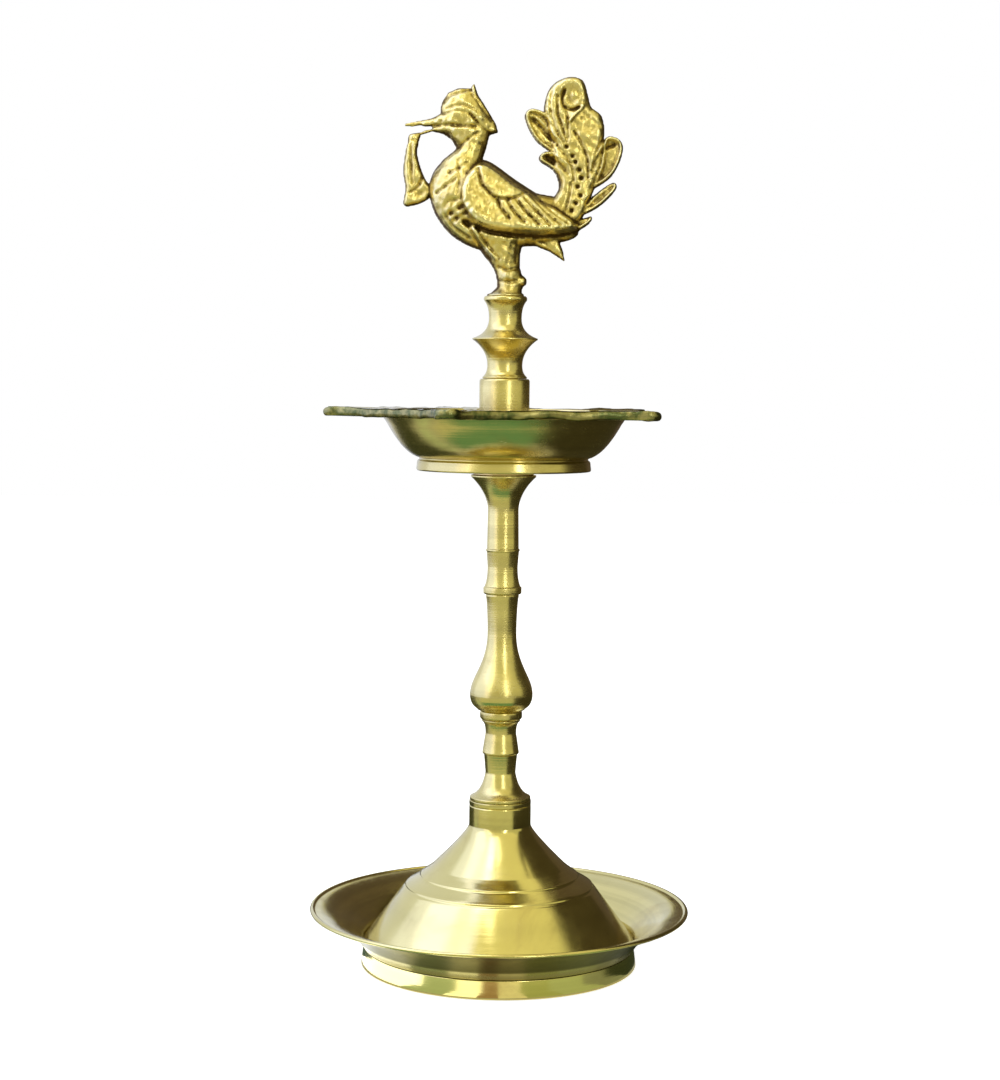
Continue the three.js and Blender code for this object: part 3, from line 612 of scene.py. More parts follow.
# Oil bowl. Cast with its boss, ring foot and a wide flange drawn out into five spouts, each with a shallow
# channel for a wick. The bowl is turned and polished outside; the edge of the flange is left nearly as cast.
spout_count = 5
spout_half = math.pi / spout_count
spout_reach = 62.0
spout_tip = 4.2
flange_valley = 45.4
flange_root = 41.6
flange_low = 189.5
flange_high = 192.4
edge_level = 190.95
edge_across = 1.0
edge_up = 1.45
mouth = 39.5
channel_half = 2.9
channel_deep = 1.15
inward_dip = 0.15
bank_from_middle = 3.5
bank_from_axis = 44
bank_width = 0.8
bank_height = 0.25
lip_radius = 39.3
lip_level = 192.1
notch_deep = 0.9


def flange_edge():
    """The flange's edge as bearings and radii: from a spout's end, round its tip and back to the valley."""
    shoulder = spout_reach - spout_tip
    valley = (flange_valley * math.cos(spout_half), flange_valley * math.sin(spout_half))
    side = [
        (spout_reach, 0),
        *sweep([(spout_reach, 0), (spout_reach, spout_tip), (shoulder, spout_tip)], 10),
        (shoulder, spout_tip),
        *sweep([
            (shoulder, spout_tip), (flange_valley + 4, 2 * spout_tip),
            (flange_valley - 4, 0.43 * flange_valley), valley,
        ], 34),
        valley,
    ]
    bearings = np.array([math.atan2(y, x) for x, y, *_ in side])
    radii = np.array([math.hypot(x, y) for x, y, *_ in side])
    return bearings, radii


def bowl_fifth():
    """One fifth of the bowl, with a spout in its middle. Its cast value is 1 where the metal is left raw."""
    close = 0.16
    half = np.concatenate([np.linspace(0, close, 26), np.linspace(close, spout_half, 22)[1:]])
    aside = np.concatenate([-half[::-1], half[1:]])
    away = np.abs(aside)
    sides = len(aside)
    cos, sin = np.cos(math.pi + aside), np.sin(math.pi + aside)
    reach = np.interp(away, *flange_edge())
    below = fillet([
        (3.35, 171.18, 0.2), (12.0, 171.18, 0.5), (12.0, 174.1, 0.6), (27.4, 174.1, 0.6), (27.4, 171.3, 0.4),
        (29.7, 171.3, 0.3), (30.0, 171.7, 0.3), (29.7, 174.6, 0.4), (29.0, 175.1, 0.3), (28.9, 175.6, 0.3),
        *sweep([(29.0, 175.7), (33.2, 176.7), (37.2, 181.6), (41.0, 189.0)], 26),
    ])[1:-1]
    above = fillet([
        *sweep([(39.1, 191.5), (34.4, 178.6), (27.4, 176.3)], 24),
        (27.4, 176.3, 1.0), (12.4, 176.3, 1.0), (11.0, 178.72, 0.4), (3.35, 178.82, 0.2),
    ])[1:]
    rows = list(below)
    # The flange's underside, its rounded edge, and its top with a channel down the middle of the spout.
    for share, drop in ((0.0, 0.0), (0.25, 0.12), (0.5, 0.1), (0.75, 0.05), (0.93, 0.0)):
        rows.append((flange_root + share * (reach - flange_root), flange_low - drop))
    for round_by in np.radians(np.linspace(-80, 80, 9)):
        radius = reach - edge_across + edge_across * math.cos(round_by)
        rows.append((radius, edge_level + edge_up * math.sin(round_by)))
    for share in (0.96, 0.88, 0.78, 0.66, 0.54, 0.42, 0.3, 0.2, 0.1, 0.03):
        radius = mouth + share * (reach - mouth)
        across = radius * np.sin(away)
        channel = channel_deep * np.clip(1 - (across / channel_half) ** 2, 0, 1)
        bank = bank_height * np.exp(-(((across - bank_from_middle) / bank_width) ** 2))
        dip = inward_dip * (1 - share)
        rows.append((radius, flange_high - dip - channel + bank * (radius > bank_from_axis)))
    notch = notch_deep * np.clip(1 - (lip_radius * np.sin(away) / channel_half) ** 2, 0, 1)
    rows.append((lip_radius, lip_level - notch))
    rows += above
    radii, levels = (np.array([np.broadcast_to(row[k], sides) for row in rows]) for k in range(2))
    points = np.stack([radii * cos, radii * sin, levels], axis=-1).reshape(-1, 3) / 1000
    faces = []
    for row in range(len(rows)):
        low, high = row * sides, (row + 1) % len(rows) * sides
        faces += [(low + k, low + k + 1, high + k + 1, high + k) for k in range(sides - 1)]
    mesh = bpy.data.meshes.new("bowl_fifth")
    mesh.from_pydata(points.tolist(), [], faces)
    on_flange = np.clip((radii - 41.0) / 1.5, 0, 1) * np.clip((levels - 188.6) / 0.8, 0, 1)
    at_edge = np.clip((radii - reach + 2.2) / 1.2, 0, 1)
    cast = mesh.attributes.new("cast", "FLOAT", "POINT")
    cast.data.foreach_set("value", (on_flange * (0.3 + 0.7 * at_edge)).ravel())
    return mesh


def spouts_round():
    """Sets the fifth round the axis once for each spout, joins the cuts, and makes the raw metal uneven."""
    ring, enter, leave = group("spouts_round", "GeometryNodeTree", {
        "Fifth": "NodeSocketGeometry", "Spouts": 5, "Unevenness": 0.0026, "Lumps": 95.0, "Seed": 3.0,
        "Brass": "NodeSocketMaterial",
    }, ("Geometry",))
    fifth, spouts, unevenness, lump_size, seed, brass = list(enter.outputs)[:6]
    on_axis = wire(ring, "GeometryNodeMeshLine", {"Count": spouts, "Offset": (0, 0, 0)})
    order = wire(ring, "GeometryNodeInputIndex")
    bearing = maths(ring, "MULTIPLY", order, maths(ring, "DIVIDE", math.tau, spouts))
    turned_by = wire(ring, "ShaderNodeCombineXYZ", {2: bearing})
    fifths = wire(ring, "GeometryNodeInstanceOnPoints", {
        "Points": on_axis, "Instance": fifth, "Rotation": turned_by,
    })
    real = wire(ring, "GeometryNodeRealizeInstances", {"Geometry": fifths})
    joined = wire(ring, "GeometryNodeMergeByDistance", {"Geometry": real, "Distance": 0.000002})
    raw = wire(ring, "GeometryNodeInputNamedAttribute", {"Name": "cast"}, data_type="FLOAT")
    lumps = wire(ring, "ShaderNodeTexNoise", {
        "Vector": wire(ring, "GeometryNodeInputPosition"), "W": seed, "Scale": lump_size, "Detail": 3.0,
    }, noise_dimensions="4D").outputs["Color"]
    centred = wire(ring, "ShaderNodeVectorMath", {0: lumps, 1: (0.5, 0.5, 0.5)}, operation="SUBTRACT")
    amount = maths(ring, "MULTIPLY", raw, unevenness)
    push = wire(ring, "ShaderNodeVectorMath", {0: centred, "Scale": amount}, operation="SCALE")
    uneven = wire(ring, "GeometryNodeSetPosition", {"Geometry": joined, "Offset": push})
    painted = wire(ring, "GeometryNodeSetMaterial", {"Geometry": uneven, "Material": brass})
    plug(ring, leave, {0: painted})
    return ring


bowl_brass = turned_brass(
    "bowl_brass", (0.68, 0.57, 0.22), (0.34, 0.25, 0.08), gloss=0.15, line_height=0.00002, bloom_share=0.5
)


def cast_edge(metal, grain_height):
    """Adds the sand grain and dull skin of a raw casting, where the piece's own cast value says so."""
    tree = metal.node_tree
    shader = tree.nodes["Principled BSDF"]
    clean, dull, smooth = (
        shader.inputs[key].links[0].from_socket for key in ("Base Color", "Roughness", "Normal")
    )
    raw = marked(tree, "cast")
    grain = noise(tree, wire(tree, "ShaderNodeTexCoord").outputs["Object"], 260.0, 4.0, 0.6)
    skinned = maths(tree, "MULTIPLY", raw, spread(tree, grain, (0.4, 0.6), (0.5, 1.0)))
    plug(tree, shader, {
        "Base Color": blend(tree, skinned, clean, (0.12, 0.14, 0.05)),
        "Roughness": maths(tree, "MULTIPLY_ADD", raw, 0.12, dull),
        "Normal": wire(tree, "ShaderNodeBump", {
            "Height": maths(tree, "MULTIPLY", grain, raw), "Distance": grain_height, "Normal": smooth,
        }),
    })


cast_edge(bowl_brass, 0.0002)
bowl = grown("oil_bowl_cast", spouts_round(), bowl_fifth(), Spouts=spout_count, Brass=bowl_brass)
bowl.data.shade_smooth()
bowl.data.set_sharp_from_angle(angle=math.radians(42))
dress(bowl, bowl_brass, "bowl", "satin_brass", "oil_bowl")

# Finial collar. A plain turned tube over the stud, inside the bowl. It clamps the bowl when the finial is
# screwed down.
lathe("collar", satin_brass, "finial", "satin_brass", "finial_collar", [
    (3.35, 178.88, 0.2), (8.4, 178.88, 0.2), (8.6, 179.4, 0.2),
    (8.6, 202.1, 0.3), (8.2, 202.72, 0.25), (3.35, 202.72, 0.2),
])

# Finial baluster. Turned from bar with a sharp disc between two waists, and bored below for the stud. Its lip
# holds the bird's tenon.
lathe("baluster", satin_brass, "finial", "satin_brass", "finial_baluster", [
    (0, 212.9, 0), (3.35, 212.9, 0.1), (3.35, 202.78, 0.2), (7.5, 202.78, 0.2), (7.7, 203.2, 0.2),
    *sweep([(7.7, 203.3), (6.0, 204.6), (6.0, 207.3)], 12), (6.0, 207.3, 0.4),
    *sweep([(6.0, 207.3), (6.0, 212.3), (10.9, 215.95)], 18),
    (11.2, 216.1, 0.12), (11.2, 216.5, 0.12), (10.9, 216.6, 0.1),
    *sweep([(10.8, 216.65), (5.6, 218.5), (5.6, 223.3)], 18), (5.6, 223.3, 0.4),
    *sweep([(5.6, 223.3), (5.6, 227.4), (7.2, 229.2)], 12),
    (7.4, 229.5, 0.2), (7.4, 230.3, 0.25), (7.0, 230.86, 0.2),
    (3.3, 230.86, 0.1), (3.3, 223.8, 0.1), (0, 223.8, 0),
])

# Bird. Cast in a two-part mould, so each half is a relief that rises from the parting line: body, head, leg,
# beak and garland, wings, and a tail of curled leaves. The founder scores the feathers and leaves by hand.
bird_foot = 231.1
bird_step = 0.38
hollow_reach = 0.9
bird_low = (-36.5, -15.0, -6.6)
bird_high = (40.6, 15.0, 74.6)
bird_x = np.arange(bird_low[0], bird_high[0], bird_step)
bird_z = np.arange(bird_low[2], bird_high[2], bird_step)
across_x, up_z = np.meshgrid(bird_x, bird_z, indexing="ij")
relief = np.full(across_x.shape, -6.0)
everywhere = (slice(None), slice(None))
outer_fall = 1.5
leaf_margin = 4.0
crown_from = 0.6
crown_over = 1.2
groove_narrowing = 0.4


def window(points, margin):
    """The part of the mould that these points can change."""
    low, high = np.min(points, axis=0) - margin, np.max(points, axis=0) + margin
    return tuple(
        slice(np.searchsorted(grid, low[k]), np.searchsorted(grid, high[k]))
        for k, grid in enumerate((bird_x, bird_z))
    )


def spline(points, closed=True, steps=6):
    """A smooth line through the points."""
    points = np.array(points, float)
    if closed:
        padded = np.concatenate([points[-1:], points, points[:2]])
    else:
        padded = np.concatenate([points[:1], points, points[-1:]])
    made = []
    for a, b, c, d in zip(padded, padded[1:], padded[2:], padded[3:]):
        for k in range(steps):
            t = k / steps
            made.append(0.5 * (2 * b + (c - a) * t + (2 * a - 5 * b + 4 * c - d) * t ** 2
                               + (3 * b - a - 3 * c + d) * t ** 3))
    if not closed:
        made.append(points[-1])
    return np.array(made)


def line_distance(line, area, closed):
    """Distance from each place in the area to a line, and where along it the nearest place is."""
    x, z = across_x[area], up_z[area]
    best = np.full(x.shape, 1e9)
    along = np.zeros(x.shape)
    ends = list(zip(line, np.roll(line, -1, axis=0) if closed else line[1:]))
    for i, (a, b) in enumerate(ends):
        run = b - a
        t = np.clip(((x - a[0]) * run[0] + (z - a[1]) * run[1]) / max(run @ run, 1e-9), 0, 1)
        d = np.hypot(x - a[0] - t * run[0], z - a[1] - t * run[1])
        nearer = d < best
        best = np.where(nearer, d, best)
        along = np.where(nearer, (i + t) / len(ends), along)
    return best, along


def depth_inside(line, area):
    """Distance from the closed line, more than nothing inside it."""
    x, z = across_x[area], up_z[area]
    distance, _ = line_distance(line, area, True)
    inside = np.zeros(x.shape, bool)
    for a, b in zip(line, np.roll(line, -1, axis=0)):
        crosses = (a[1] > z) != (b[1] > z)
        if a[1] != b[1]:
            inside ^= crosses & (x < (b[0] - a[0]) * (z - a[1]) / (b[1] - a[1]) + a[0])
    return np.where(inside, distance, -distance)


def lay(area, height, soft):
    """Lays a form on the relief, with a soft joint where it meets what is there."""
    there = relief[area]
    joint = np.maximum(soft - np.abs(there - height), 0) / soft
    relief[area] = np.maximum(there, height) + joint * joint * soft / 4


def pillow(depth, edge, thick):
    """The height of a form with a rounded edge, from how far inside its outline a place is."""
    share = np.clip(depth / edge, 0, 1)
    return np.where(depth > 0, thick * np.sqrt(1 - (1 - share) ** 2), depth * outer_fall)


def leaf(points, thick, edge, soft, smooth=True, crown=0.0):
    """A leaf or plate from its outline. Crown lifts or, below nothing, hollows its middle."""
    line = spline(points) if smooth else np.array(points, float)
    area = window(line, leaf_margin)
    depth = depth_inside(line, area)
    inner = np.clip((depth - edge * crown_from) / (edge * crown_over), 0, 1)
    lay(area, pillow(depth, edge, thick) + crown * inner * inner * (3 - 2 * inner), soft)


def limb(stations, upwards, soft):
    """A rounded limb through stations: x, z, half depth and half width."""
    line = spline(stations, closed=False, steps=8)
    run, other = (line[:, 1], line[:, 0]) if upwards else (line[:, 0], line[:, 1])
    order = np.argsort(run)
    here, aside = (up_z, across_x) if upwards else (across_x, up_z)
    centre = np.interp(here, run[order], other[order])
    deep = np.interp(here, run[order], line[order, 2])
    wide = np.interp(here, run[order], line[order, 3])
    off = np.abs(aside - centre) / deep
    beyond = np.maximum(np.maximum(run.min() - here, here - run.max()), 0)
    height = np.where(off < 1, wide * np.sqrt(np.clip(1 - off ** 2, 0, 1)), (1 - off) * deep * outer_fall)
    past_end = -outer_fall * np.hypot(beyond, np.maximum(off - 1, 0) * deep) - 0.01
    lay(everywhere, np.where(beyond > 0, past_end, height), soft)


def score(points, width, depth, taper=0.0):
    """Cuts a groove along a line, or raises a rib where the depth is less than nothing."""
    line = spline(points, closed=False) if len(points) > 2 else np.array(points, float)
    area = window(line, 3 * width)
    distance, along = line_distance(line, area, False)
    fade = 1 - taper * along
    narrowed = width * (1 - groove_narrowing * taper * along)
    relief[area] -= depth * fade * np.exp(-((distance / narrowed) ** 2))


def punch(places, radius, depth):
    """Round dents in these places, or bosses where the depth is less than nothing."""
    for x, z in places:
        area = window([(x, z)], 3 * radius)
        distance = np.hypot(across_x[area] - x, up_z[area] - z)
        relief[area] -= depth * np.exp(-((distance / radius) ** 2))


# The body, from breast to tail root, then the head on its neck, and the legs cast as one.
limb([
    (-26.2, 35.5, 2.5, 3.3), (-23.8, 34.5, 8.0, 7.3), (-18.0, 32.0, 12.3, 10.1), (-9.0, 29.8, 14.4, 11.0),
    (0.0, 28.0, 12.2, 9.9), (8.5, 26.2, 9.0, 7.5), (16.5, 26.5, 7.0, 5.2), (23.0, 26.5, 4.6, 3.4),
], False, 0.5)
limb([
    (-14.0, 30.0, 10.0, 8.6), (-16.2, 39.0, 9.4, 7.9), (-15.2, 45.0, 7.0, 6.2), (-12.2, 49.6, 5.1, 4.9),
    (-12.9, 53.0, 6.6, 5.2), (-13.8, 56.5, 8.4, 5.5), (-14.2, 60.5, 8.4, 5.4), (-15.4, 64.8, 6.8, 4.5),
    (-15.8, 68.0, 4.0, 2.8), (-15.8, 69.6, 1.2, 1.1),
], True, 2.5)
limb([
    (0.6, 0.9, 4.6, 4.8), (1.4, 3.0, 4.4, 4.8), (1.0, 7.0, 4.4, 4.9), (-0.2, 10.5, 4.9, 5.3),
    (-1.8, 15.0, 6.8, 6.5), (-2.4, 22.0, 9.0, 7.8),
], True, 2.0)
limb([
    (-34.8, 57.1, 0.5, 0.6), (-31.0, 57.2, 1.2, 1.3), (-25.5, 57.4, 2.2, 2.3), (-21.0, 58.0, 3.8, 3.9),
    (-15.0, 58.0, 4.6, 4.4),
], False, 1.0)

# The crest, combed back from the beak to a point over the nape.
leaf([
    (-22.2, 63.5), (-15.0, 57.0), (-7.5, 53.6), (-3.1, 55.0), (-4.0, 58.0), (-7.6, 63.7), (-10.0, 67.4),
    (-11.4, 71.3), (-12.6, 69.8), (-16.0, 69.4), (-20.2, 68.2),
], 2.6, 1.6, soft=1.2, smooth=False)

# The garland: a stalk arched from the beak to the throat, and a leaf that hangs to the breast.
leaf([
    (-33.8, 51.0), (-30.4, 50.6), (-29.3, 53.9), (-25.5, 55.1), (-22.0, 54.4), (-18.9, 52.4), (-16.6, 48.6),
    (-13.5, 52.0), (-16.0, 57.0), (-22.0, 58.6), (-33.0, 57.3),
], 2.0, 1.5, soft=0.6, smooth=False)
leaf([
    (-33.4, 51.6), (-34.8, 46.0), (-35.1, 40.7), (-34.4, 35.8), (-34.9, 30.2), (-30.6, 30.4), (-26.6, 32.4),
    (-24.6, 35.5), (-27.2, 38.2), (-29.4, 43.0), (-30.6, 48.0), (-30.2, 51.6),
], 2.8, 1.5, soft=0.5)
score([(-32.6, 50.6), (-32.4, 44.0), (-32.0, 37.6)], 0.6, 0.9, taper=0.4)
score([(-33.0, 34.2), (-30.4, 36.0), (-28.6, 39.0)], 0.6, 0.8)
punch([(-29.4, 34.0)], 1.5, 0.8)

# The tail: the fan with its curled top, then the leaves beside it and the beaded midrib.
leaf([
    (12.5, 27.0), (15.6, 32.6), (17.7, 36.4), (17.0, 40.2), (15.6, 44.0), (15.0, 50.0), (13.4, 57.0),
    (12.4, 63.5), (14.8, 70.4), (20.0, 73.6), (25.2, 72.8), (27.2, 67.6), (28.4, 63.8), (32.0, 60.6),
    (33.0, 54.0), (32.4, 45.0), (29.6, 36.0), (27.0, 28.6), (22.6, 22.0), (16.0, 21.0),
], 4.0, 2.6, soft=1.2)
for outline in (
    [(18.0, 47.6), (11.4, 50.8), (8.0, 54.8), (5.9, 60.4), (8.0, 63.0), (13.0, 61.5), (18.0, 56.0)],
    [(19.0, 38.4), (15.4, 42.6), (11.0, 45.6), (12.2, 48.4), (17.0, 48.4), (21.0, 43.0)],
    [(29.0, 36.6), (31.4, 44.0), (33.0, 53.0), (37.0, 53.6), (39.2, 51.0), (38.4, 45.8), (35.0, 40.0)],
    [(25.0, 27.6), (29.0, 33.6), (35.8, 38.4), (37.2, 36.4), (33.0, 31.6), (28.6, 28.6)],
    [(18.4, 19.4), (21.4, 24.4), (28.6, 27.0), (28.2, 24.6), (23.4, 21.5)],
):
    leaf(outline, 3.1, 1.0, soft=0.3, crown=-1.3)

# The spur below the tail, then the wings, which close in towards the back and the tail.
leaf([
    (4.0, 16.6), (9.8, 16.9), (14.8, 15.0), (20.0, 11.7), (19.4, 15.2), (17.8, 19.4), (12.0, 22.0),
    (4.0, 21.0),
], 2.5, 1.4, soft=0.8, smooth=False)
wing_line = spline([
    (-7.6, 43.4), (-12.6, 41.0), (-15.1, 35.8), (-14.6, 30.4), (-11.6, 25.8), (-6.4, 22.8), (1.7, 21.5),
    (13.0, 21.2), (22.6, 23.0), (18.0, 27.6), (10.0, 32.0), (2.0, 37.0),
])
wing_area = window(wing_line, leaf_margin)
wing_edge = 2.4
wing_fall = 2.5
wing_out = 11.3
wing_middle = 30
lean_up = 0.26
lean_back = 0.15
wing_depth = depth_inside(wing_line, wing_area)
wing_face = wing_out - lean_up * (up_z[wing_area] - wing_middle) - lean_back * across_x[wing_area]
wing_share = np.clip(wing_depth / wing_edge, 0, 1)
wing_top = wing_face - wing_edge * (1 - np.sqrt(1 - (1 - wing_share) ** 2))
lay(wing_area, np.where(wing_depth > 0, wing_top, wing_face - wing_edge + wing_fall * wing_depth), 0.5)

# Feathers: a large one lies over the back, and below it the quills sweep to the tail.
score([
    (-9.6, 42.0), (-8.3, 36.8), (-6.3, 34.6), (-3.8, 32.4), (0.0, 31.9), (3.7, 32.6), (6.6, 34.4),
], 0.55, 1.0)
for line in (
    [(-2.8, 31.4), (-1.8, 28.8), (1.0, 25.4)], [(0.6, 31.2), (2.6, 27.6), (6.0, 24.4)],
    [(3.4, 31.6), (7.0, 27.4), (11.0, 23.6)], [(6.2, 32.4), (10.0, 28.2), (14.8, 23.2)],
    [(8.4, 32.8), (13.0, 28.0), (18.6, 23.4)], [(11.4, 31.4), (16.0, 27.4), (21.0, 24.0)],
):
    score(line, 0.55, 1.0)
for line in (
    [(2.2, 31.0), (4.8, 27.4), (8.4, 24.2)], [(5.0, 31.6), (8.6, 27.6), (12.8, 23.6)],
    [(7.6, 32.2), (11.4, 28.2), (16.6, 23.4)], [(10.2, 31.8), (14.6, 27.6), (19.8, 23.8)],
):
    score(line, 0.36, 0.35)
punch([
    (-10.8, 38.0), (-12.2, 34.6), (-10.4, 31.8), (-8.6, 33.8), (-12.4, 30.6), (-9.4, 28.6), (-6.6, 30.8),
    (-7.2, 27.0), (-4.6, 27.8), (-4.4, 24.8), (-11.6, 36.4), (-9.6, 35.8),
], 0.85, 0.28)
score([(-14.2, 24.4), (-6.9, 21.4), (2.0, 20.2), (12.0, 19.8), (20.0, 20.6), (24.1, 22.0)], 0.9, 1.9)

# Breast, thighs and throat. The breast is smooth with two bold cuts, and roughened with a punch below.
for line, deep in (
    ([(-23.6, 33.8), (-20.8, 35.8), (-17.3, 38.4)], 0.95),
    ([(-19.2, 40.7), (-16.6, 42.0), (-13.6, 44.2)], 0.6),
    ([(-16.4, 49.4), (-13.2, 52.2), (-9.6, 54.4)], 0.8),
    ([(-16.4, 44.8), (-15.9, 38.6), (-16.6, 33.4)], 0.5),
):
    score(line, 0.6, deep, taper=0.3)
punched_low = (-20.4, 22.6)
punched_size = 8.6
for k in range(26):
    x = punched_low[0] + punched_size * ((0.618 * k) % 1.0)
    z = punched_low[1] + punched_size * ((0.414 * k) % 1.0)
    if z > 16.4 - 0.42 * x:
        punch([(x, z)], 0.8, 0.42)
score([(-20.8, 26.8), (-17.6, 22.4), (-12.4, 19.0)], 0.5, 0.75)
score([(-19.4, 30.8), (-14.6, 32.2)], 0.6, 0.5)
for line in ([(-12.8, 23.0), (-9.8, 17.9), (-4.8, 12.0)], [(-9.8, 22.4), (-7.0, 17.6), (-2.4, 12.2)]):
    score(line, 0.55, 0.9, taper=0.2)
for x, z, deep in (
    (-20.2, 29.6, 0.8), (-18.2, 27.2, 1.3), (-15.6, 28.8, 1.0), (-16.4, 25.4, 1.4), (-13.8, 26.6, 1.1),
    (-13.6, 23.4, 1.2), (-18.8, 31.6, 0.6),
):
    punch([(x, z)], 1.35, deep)
score([(-11.2, 22.8), (-8.4, 17.8), (-3.4, 12.2)], 0.7, -0.7)
punch([
    (-5.6, 19.6), (-2.8, 18.6), (-4.2, 16.8), (-0.6, 17.2), (0.8, 19.2), (-2.0, 15.0), (1.4, 15.2),
], 0.9, 0.3)
for line in (
    [(3.8, 19.0), (3.6, 14.8), (3.4, 11.0)], [(-2.6, 9.4), (0.6, 8.4), (4.6, 9.2)],
    [(-2.8, 5.2), (0.4, 4.4), (4.4, 4.8)],
):
    score(line, 0.5, 0.55)
punch([(0.4, 6.8)], 1.5, -0.6)
punch([(-1.2, 11.2)], 1.3, -0.4)
leaf([(3.6, 2.6), (6.6, 3.4), (7.1, 5.4), (5.6, 6.8), (3.4, 6.2)], 3.4, 1.6, soft=0.6)
score([(9.6, 19.0), (13.8, 17.2), (18.4, 14.0)], 0.5, 0.5, taper=0.3)
score([(-8.0, 50.8), (-8.6, 46.8), (-10.4, 43.8)], 0.6, 0.6)

# Head: a deep-set eye, a cheek cut back to the mouth, a band across the brow and knobs down the crest.
punch([(-15.2, 58.6)], 1.9, 1.1)
punch([(-15.4, 59.0)], 0.85, -0.75)
score([(-24.6, 56.8), (-19.6, 57.0), (-14.6, 56.6), (-10.8, 56.6)], 0.75, 1.1)
punch([(-22.4, 58.2)], 0.6, 0.7)
score([(-35.0, 55.0), (-29.5, 55.9)], 0.95, 7.0)
score([(-31.0, 55.8), (-26.0, 56.3)], 0.6, 6.0, taper=0.2)
score([(-21.4, 64.4), (-19.0, 67.0), (-12.4, 68.9)], 0.55, 0.8)
score([(-20.6, 62.4), (-15.0, 63.6), (-10.4, 61.6)], 0.5, 0.55)
score([(-21.6, 60.6), (-17.4, 61.6), (-12.4, 60.6), (-9.8, 57.0)], 0.45, 0.5)
punch([(-10.8, 61.8), (-8.8, 59.4), (-6.6, 57.4), (-9.0, 64.2), (-5.0, 55.6)], 1.0, -0.5)
for line in ([(-10.6, 65.6), (-8.0, 62.0), (-5.2, 58.4)], [(-12.6, 60.6), (-9.6, 57.4), (-6.4, 54.8)]):
    score(line, 0.45, 0.6)
score([(-12.6, 69.6), (-11.6, 66.4)], 0.5, 0.6)

# Fan: a broad band that curls over into a deep eye, lines that fall from it, and a smooth lobe at its right.
score([
    (13.4, 62.5), (13.8, 68.6), (17.0, 71.8), (21.6, 72.2), (24.8, 70.6), (25.6, 67.4), (24.2, 65.0),
], 1.1, -0.55)
punch([(21.6, 66.4)], 2.5, 1.9)
punch([(22.4, 66.9)], 1.4, -1.5)
score([(19.2, 69.0), (18.4, 66.2), (19.2, 63.6), (21.8, 62.6), (24.0, 63.2)], 0.62, 1.3)
for line, deep in (
    ([(14.9, 68.4), (14.3, 63.4), (16.2, 56.4), (19.2, 51.4)], 0.8),
    ([(17.1, 67.2), (16.9, 61.8), (18.6, 56.6), (20.2, 52.0)], 0.95),
    ([(20.0, 61.8), (20.4, 57.8), (20.6, 53.0)], 0.8),
    ([(22.6, 55.2), (25.2, 51.0), (27.2, 45.8), (27.5, 39.8)], 0.85),
    ([(32.6, 53.6), (30.6, 49.0), (28.8, 43.4)], 0.8),
    ([(26.0, 61.2), (29.6, 58.4), (32.4, 55.2)], 0.3),
    ([(16.8, 50.4), (20.6, 46.4), (22.4, 42.0), (22.6, 38.6)], 0.8),
    ([(21.8, 37.8), (21.2, 33.0), (20.2, 29.0)], 0.6),
):
    score(line, 0.5, deep, taper=0.2)
score([(25.4, 63.6), (23.2, 61.4), (21.0, 58.8)], 0.6, -0.9)
score([(24.6, 54.4), (27.2, 53.6), (30.8, 54.0)], 1.3, -0.45)
for k in range(6):
    lower = 2.6 * k
    score([(12.9 + 0.3 * k, 66.0 - lower), (14.3 + 0.35 * k, 64.6 - lower)], 0.3, 0.35)
punch([(25.2, 59.6), (27.6, 60.4), (26.6, 57.6), (23.6, 57.4), (29.4, 56.6)], 0.7, 0.35)

# The midrib of the tail is a row of punched dots, and each leaf beside it has a scored hollow and root.
punch([
    (20.1, 50.1), (22.1, 47.0), (23.2, 45.0), (24.6, 42.4), (25.2, 39.6), (24.0, 36.8), (25.0, 33.8),
    (23.5, 31.2), (22.1, 28.7),
], 0.76, 1.4)
for root in (
    [(9.0, 59.4), (12.4, 55.4), (16.8, 50.8)], [(13.8, 46.6), (17.4, 44.4), (20.8, 41.0)],
    [(36.2, 51.0), (31.8, 48.4), (29.0, 42.0)], [(35.6, 37.4), (31.2, 35.0), (27.2, 31.4)],
    [(27.4, 26.3), (25.2, 25.6), (22.6, 24.4)],
):
    score(root, 0.75, 1.0, taper=0.3)
for rim in (
    [(7.6, 60.6), (10.8, 59.2), (15.4, 54.6), (18.4, 51.8)], [(12.4, 47.8), (16.8, 47.0), (20.4, 44.4)],
    [(33.6, 52.8), (30.0, 47.0), (28.2, 42.6)], [(30.0, 36.8), (27.4, 33.6)],
):
    score(rim, 0.45, -0.5)

# A mound under the feet, then its round foot and the tenon below, turned after casting.
mound_top = 5.4
mound_waist = 3.1
mound_flare = 3.15
flare_height = 4.8
mound_lean = 0.36
half_wide = mound_waist + mound_flare * np.clip(1 - up_z / flare_height, 0, 1) ** 1.5
beside = across_x - mound_lean * up_z
mound = np.where(np.abs(beside) < half_wide, np.sqrt(np.clip(half_wide ** 2 - beside ** 2, 0, None)), -2.0)
mound = mound * np.sqrt(np.clip(1 - (up_z / mound_top) ** 4, 0, 1))
lay(everywhere, np.where((up_z > 0) & (up_z < mound_top), mound, -3.0), 1.0)
for radius, low, high in ((6.25, -0.15, 0.5), (3.0, -6.0, 0.2)):
    inside = (np.abs(across_x) < radius) & (up_z >= low) & (up_z <= high)
    beyond = np.maximum(np.abs(across_x) - radius, np.maximum(low - up_z, up_z - high))
    height = np.where(inside, np.sqrt(np.clip(radius ** 2 - across_x ** 2, 0, None)), -outer_fall * beyond)
    relief = np.where(up_z < low + 0.15, height, np.maximum(relief, height))

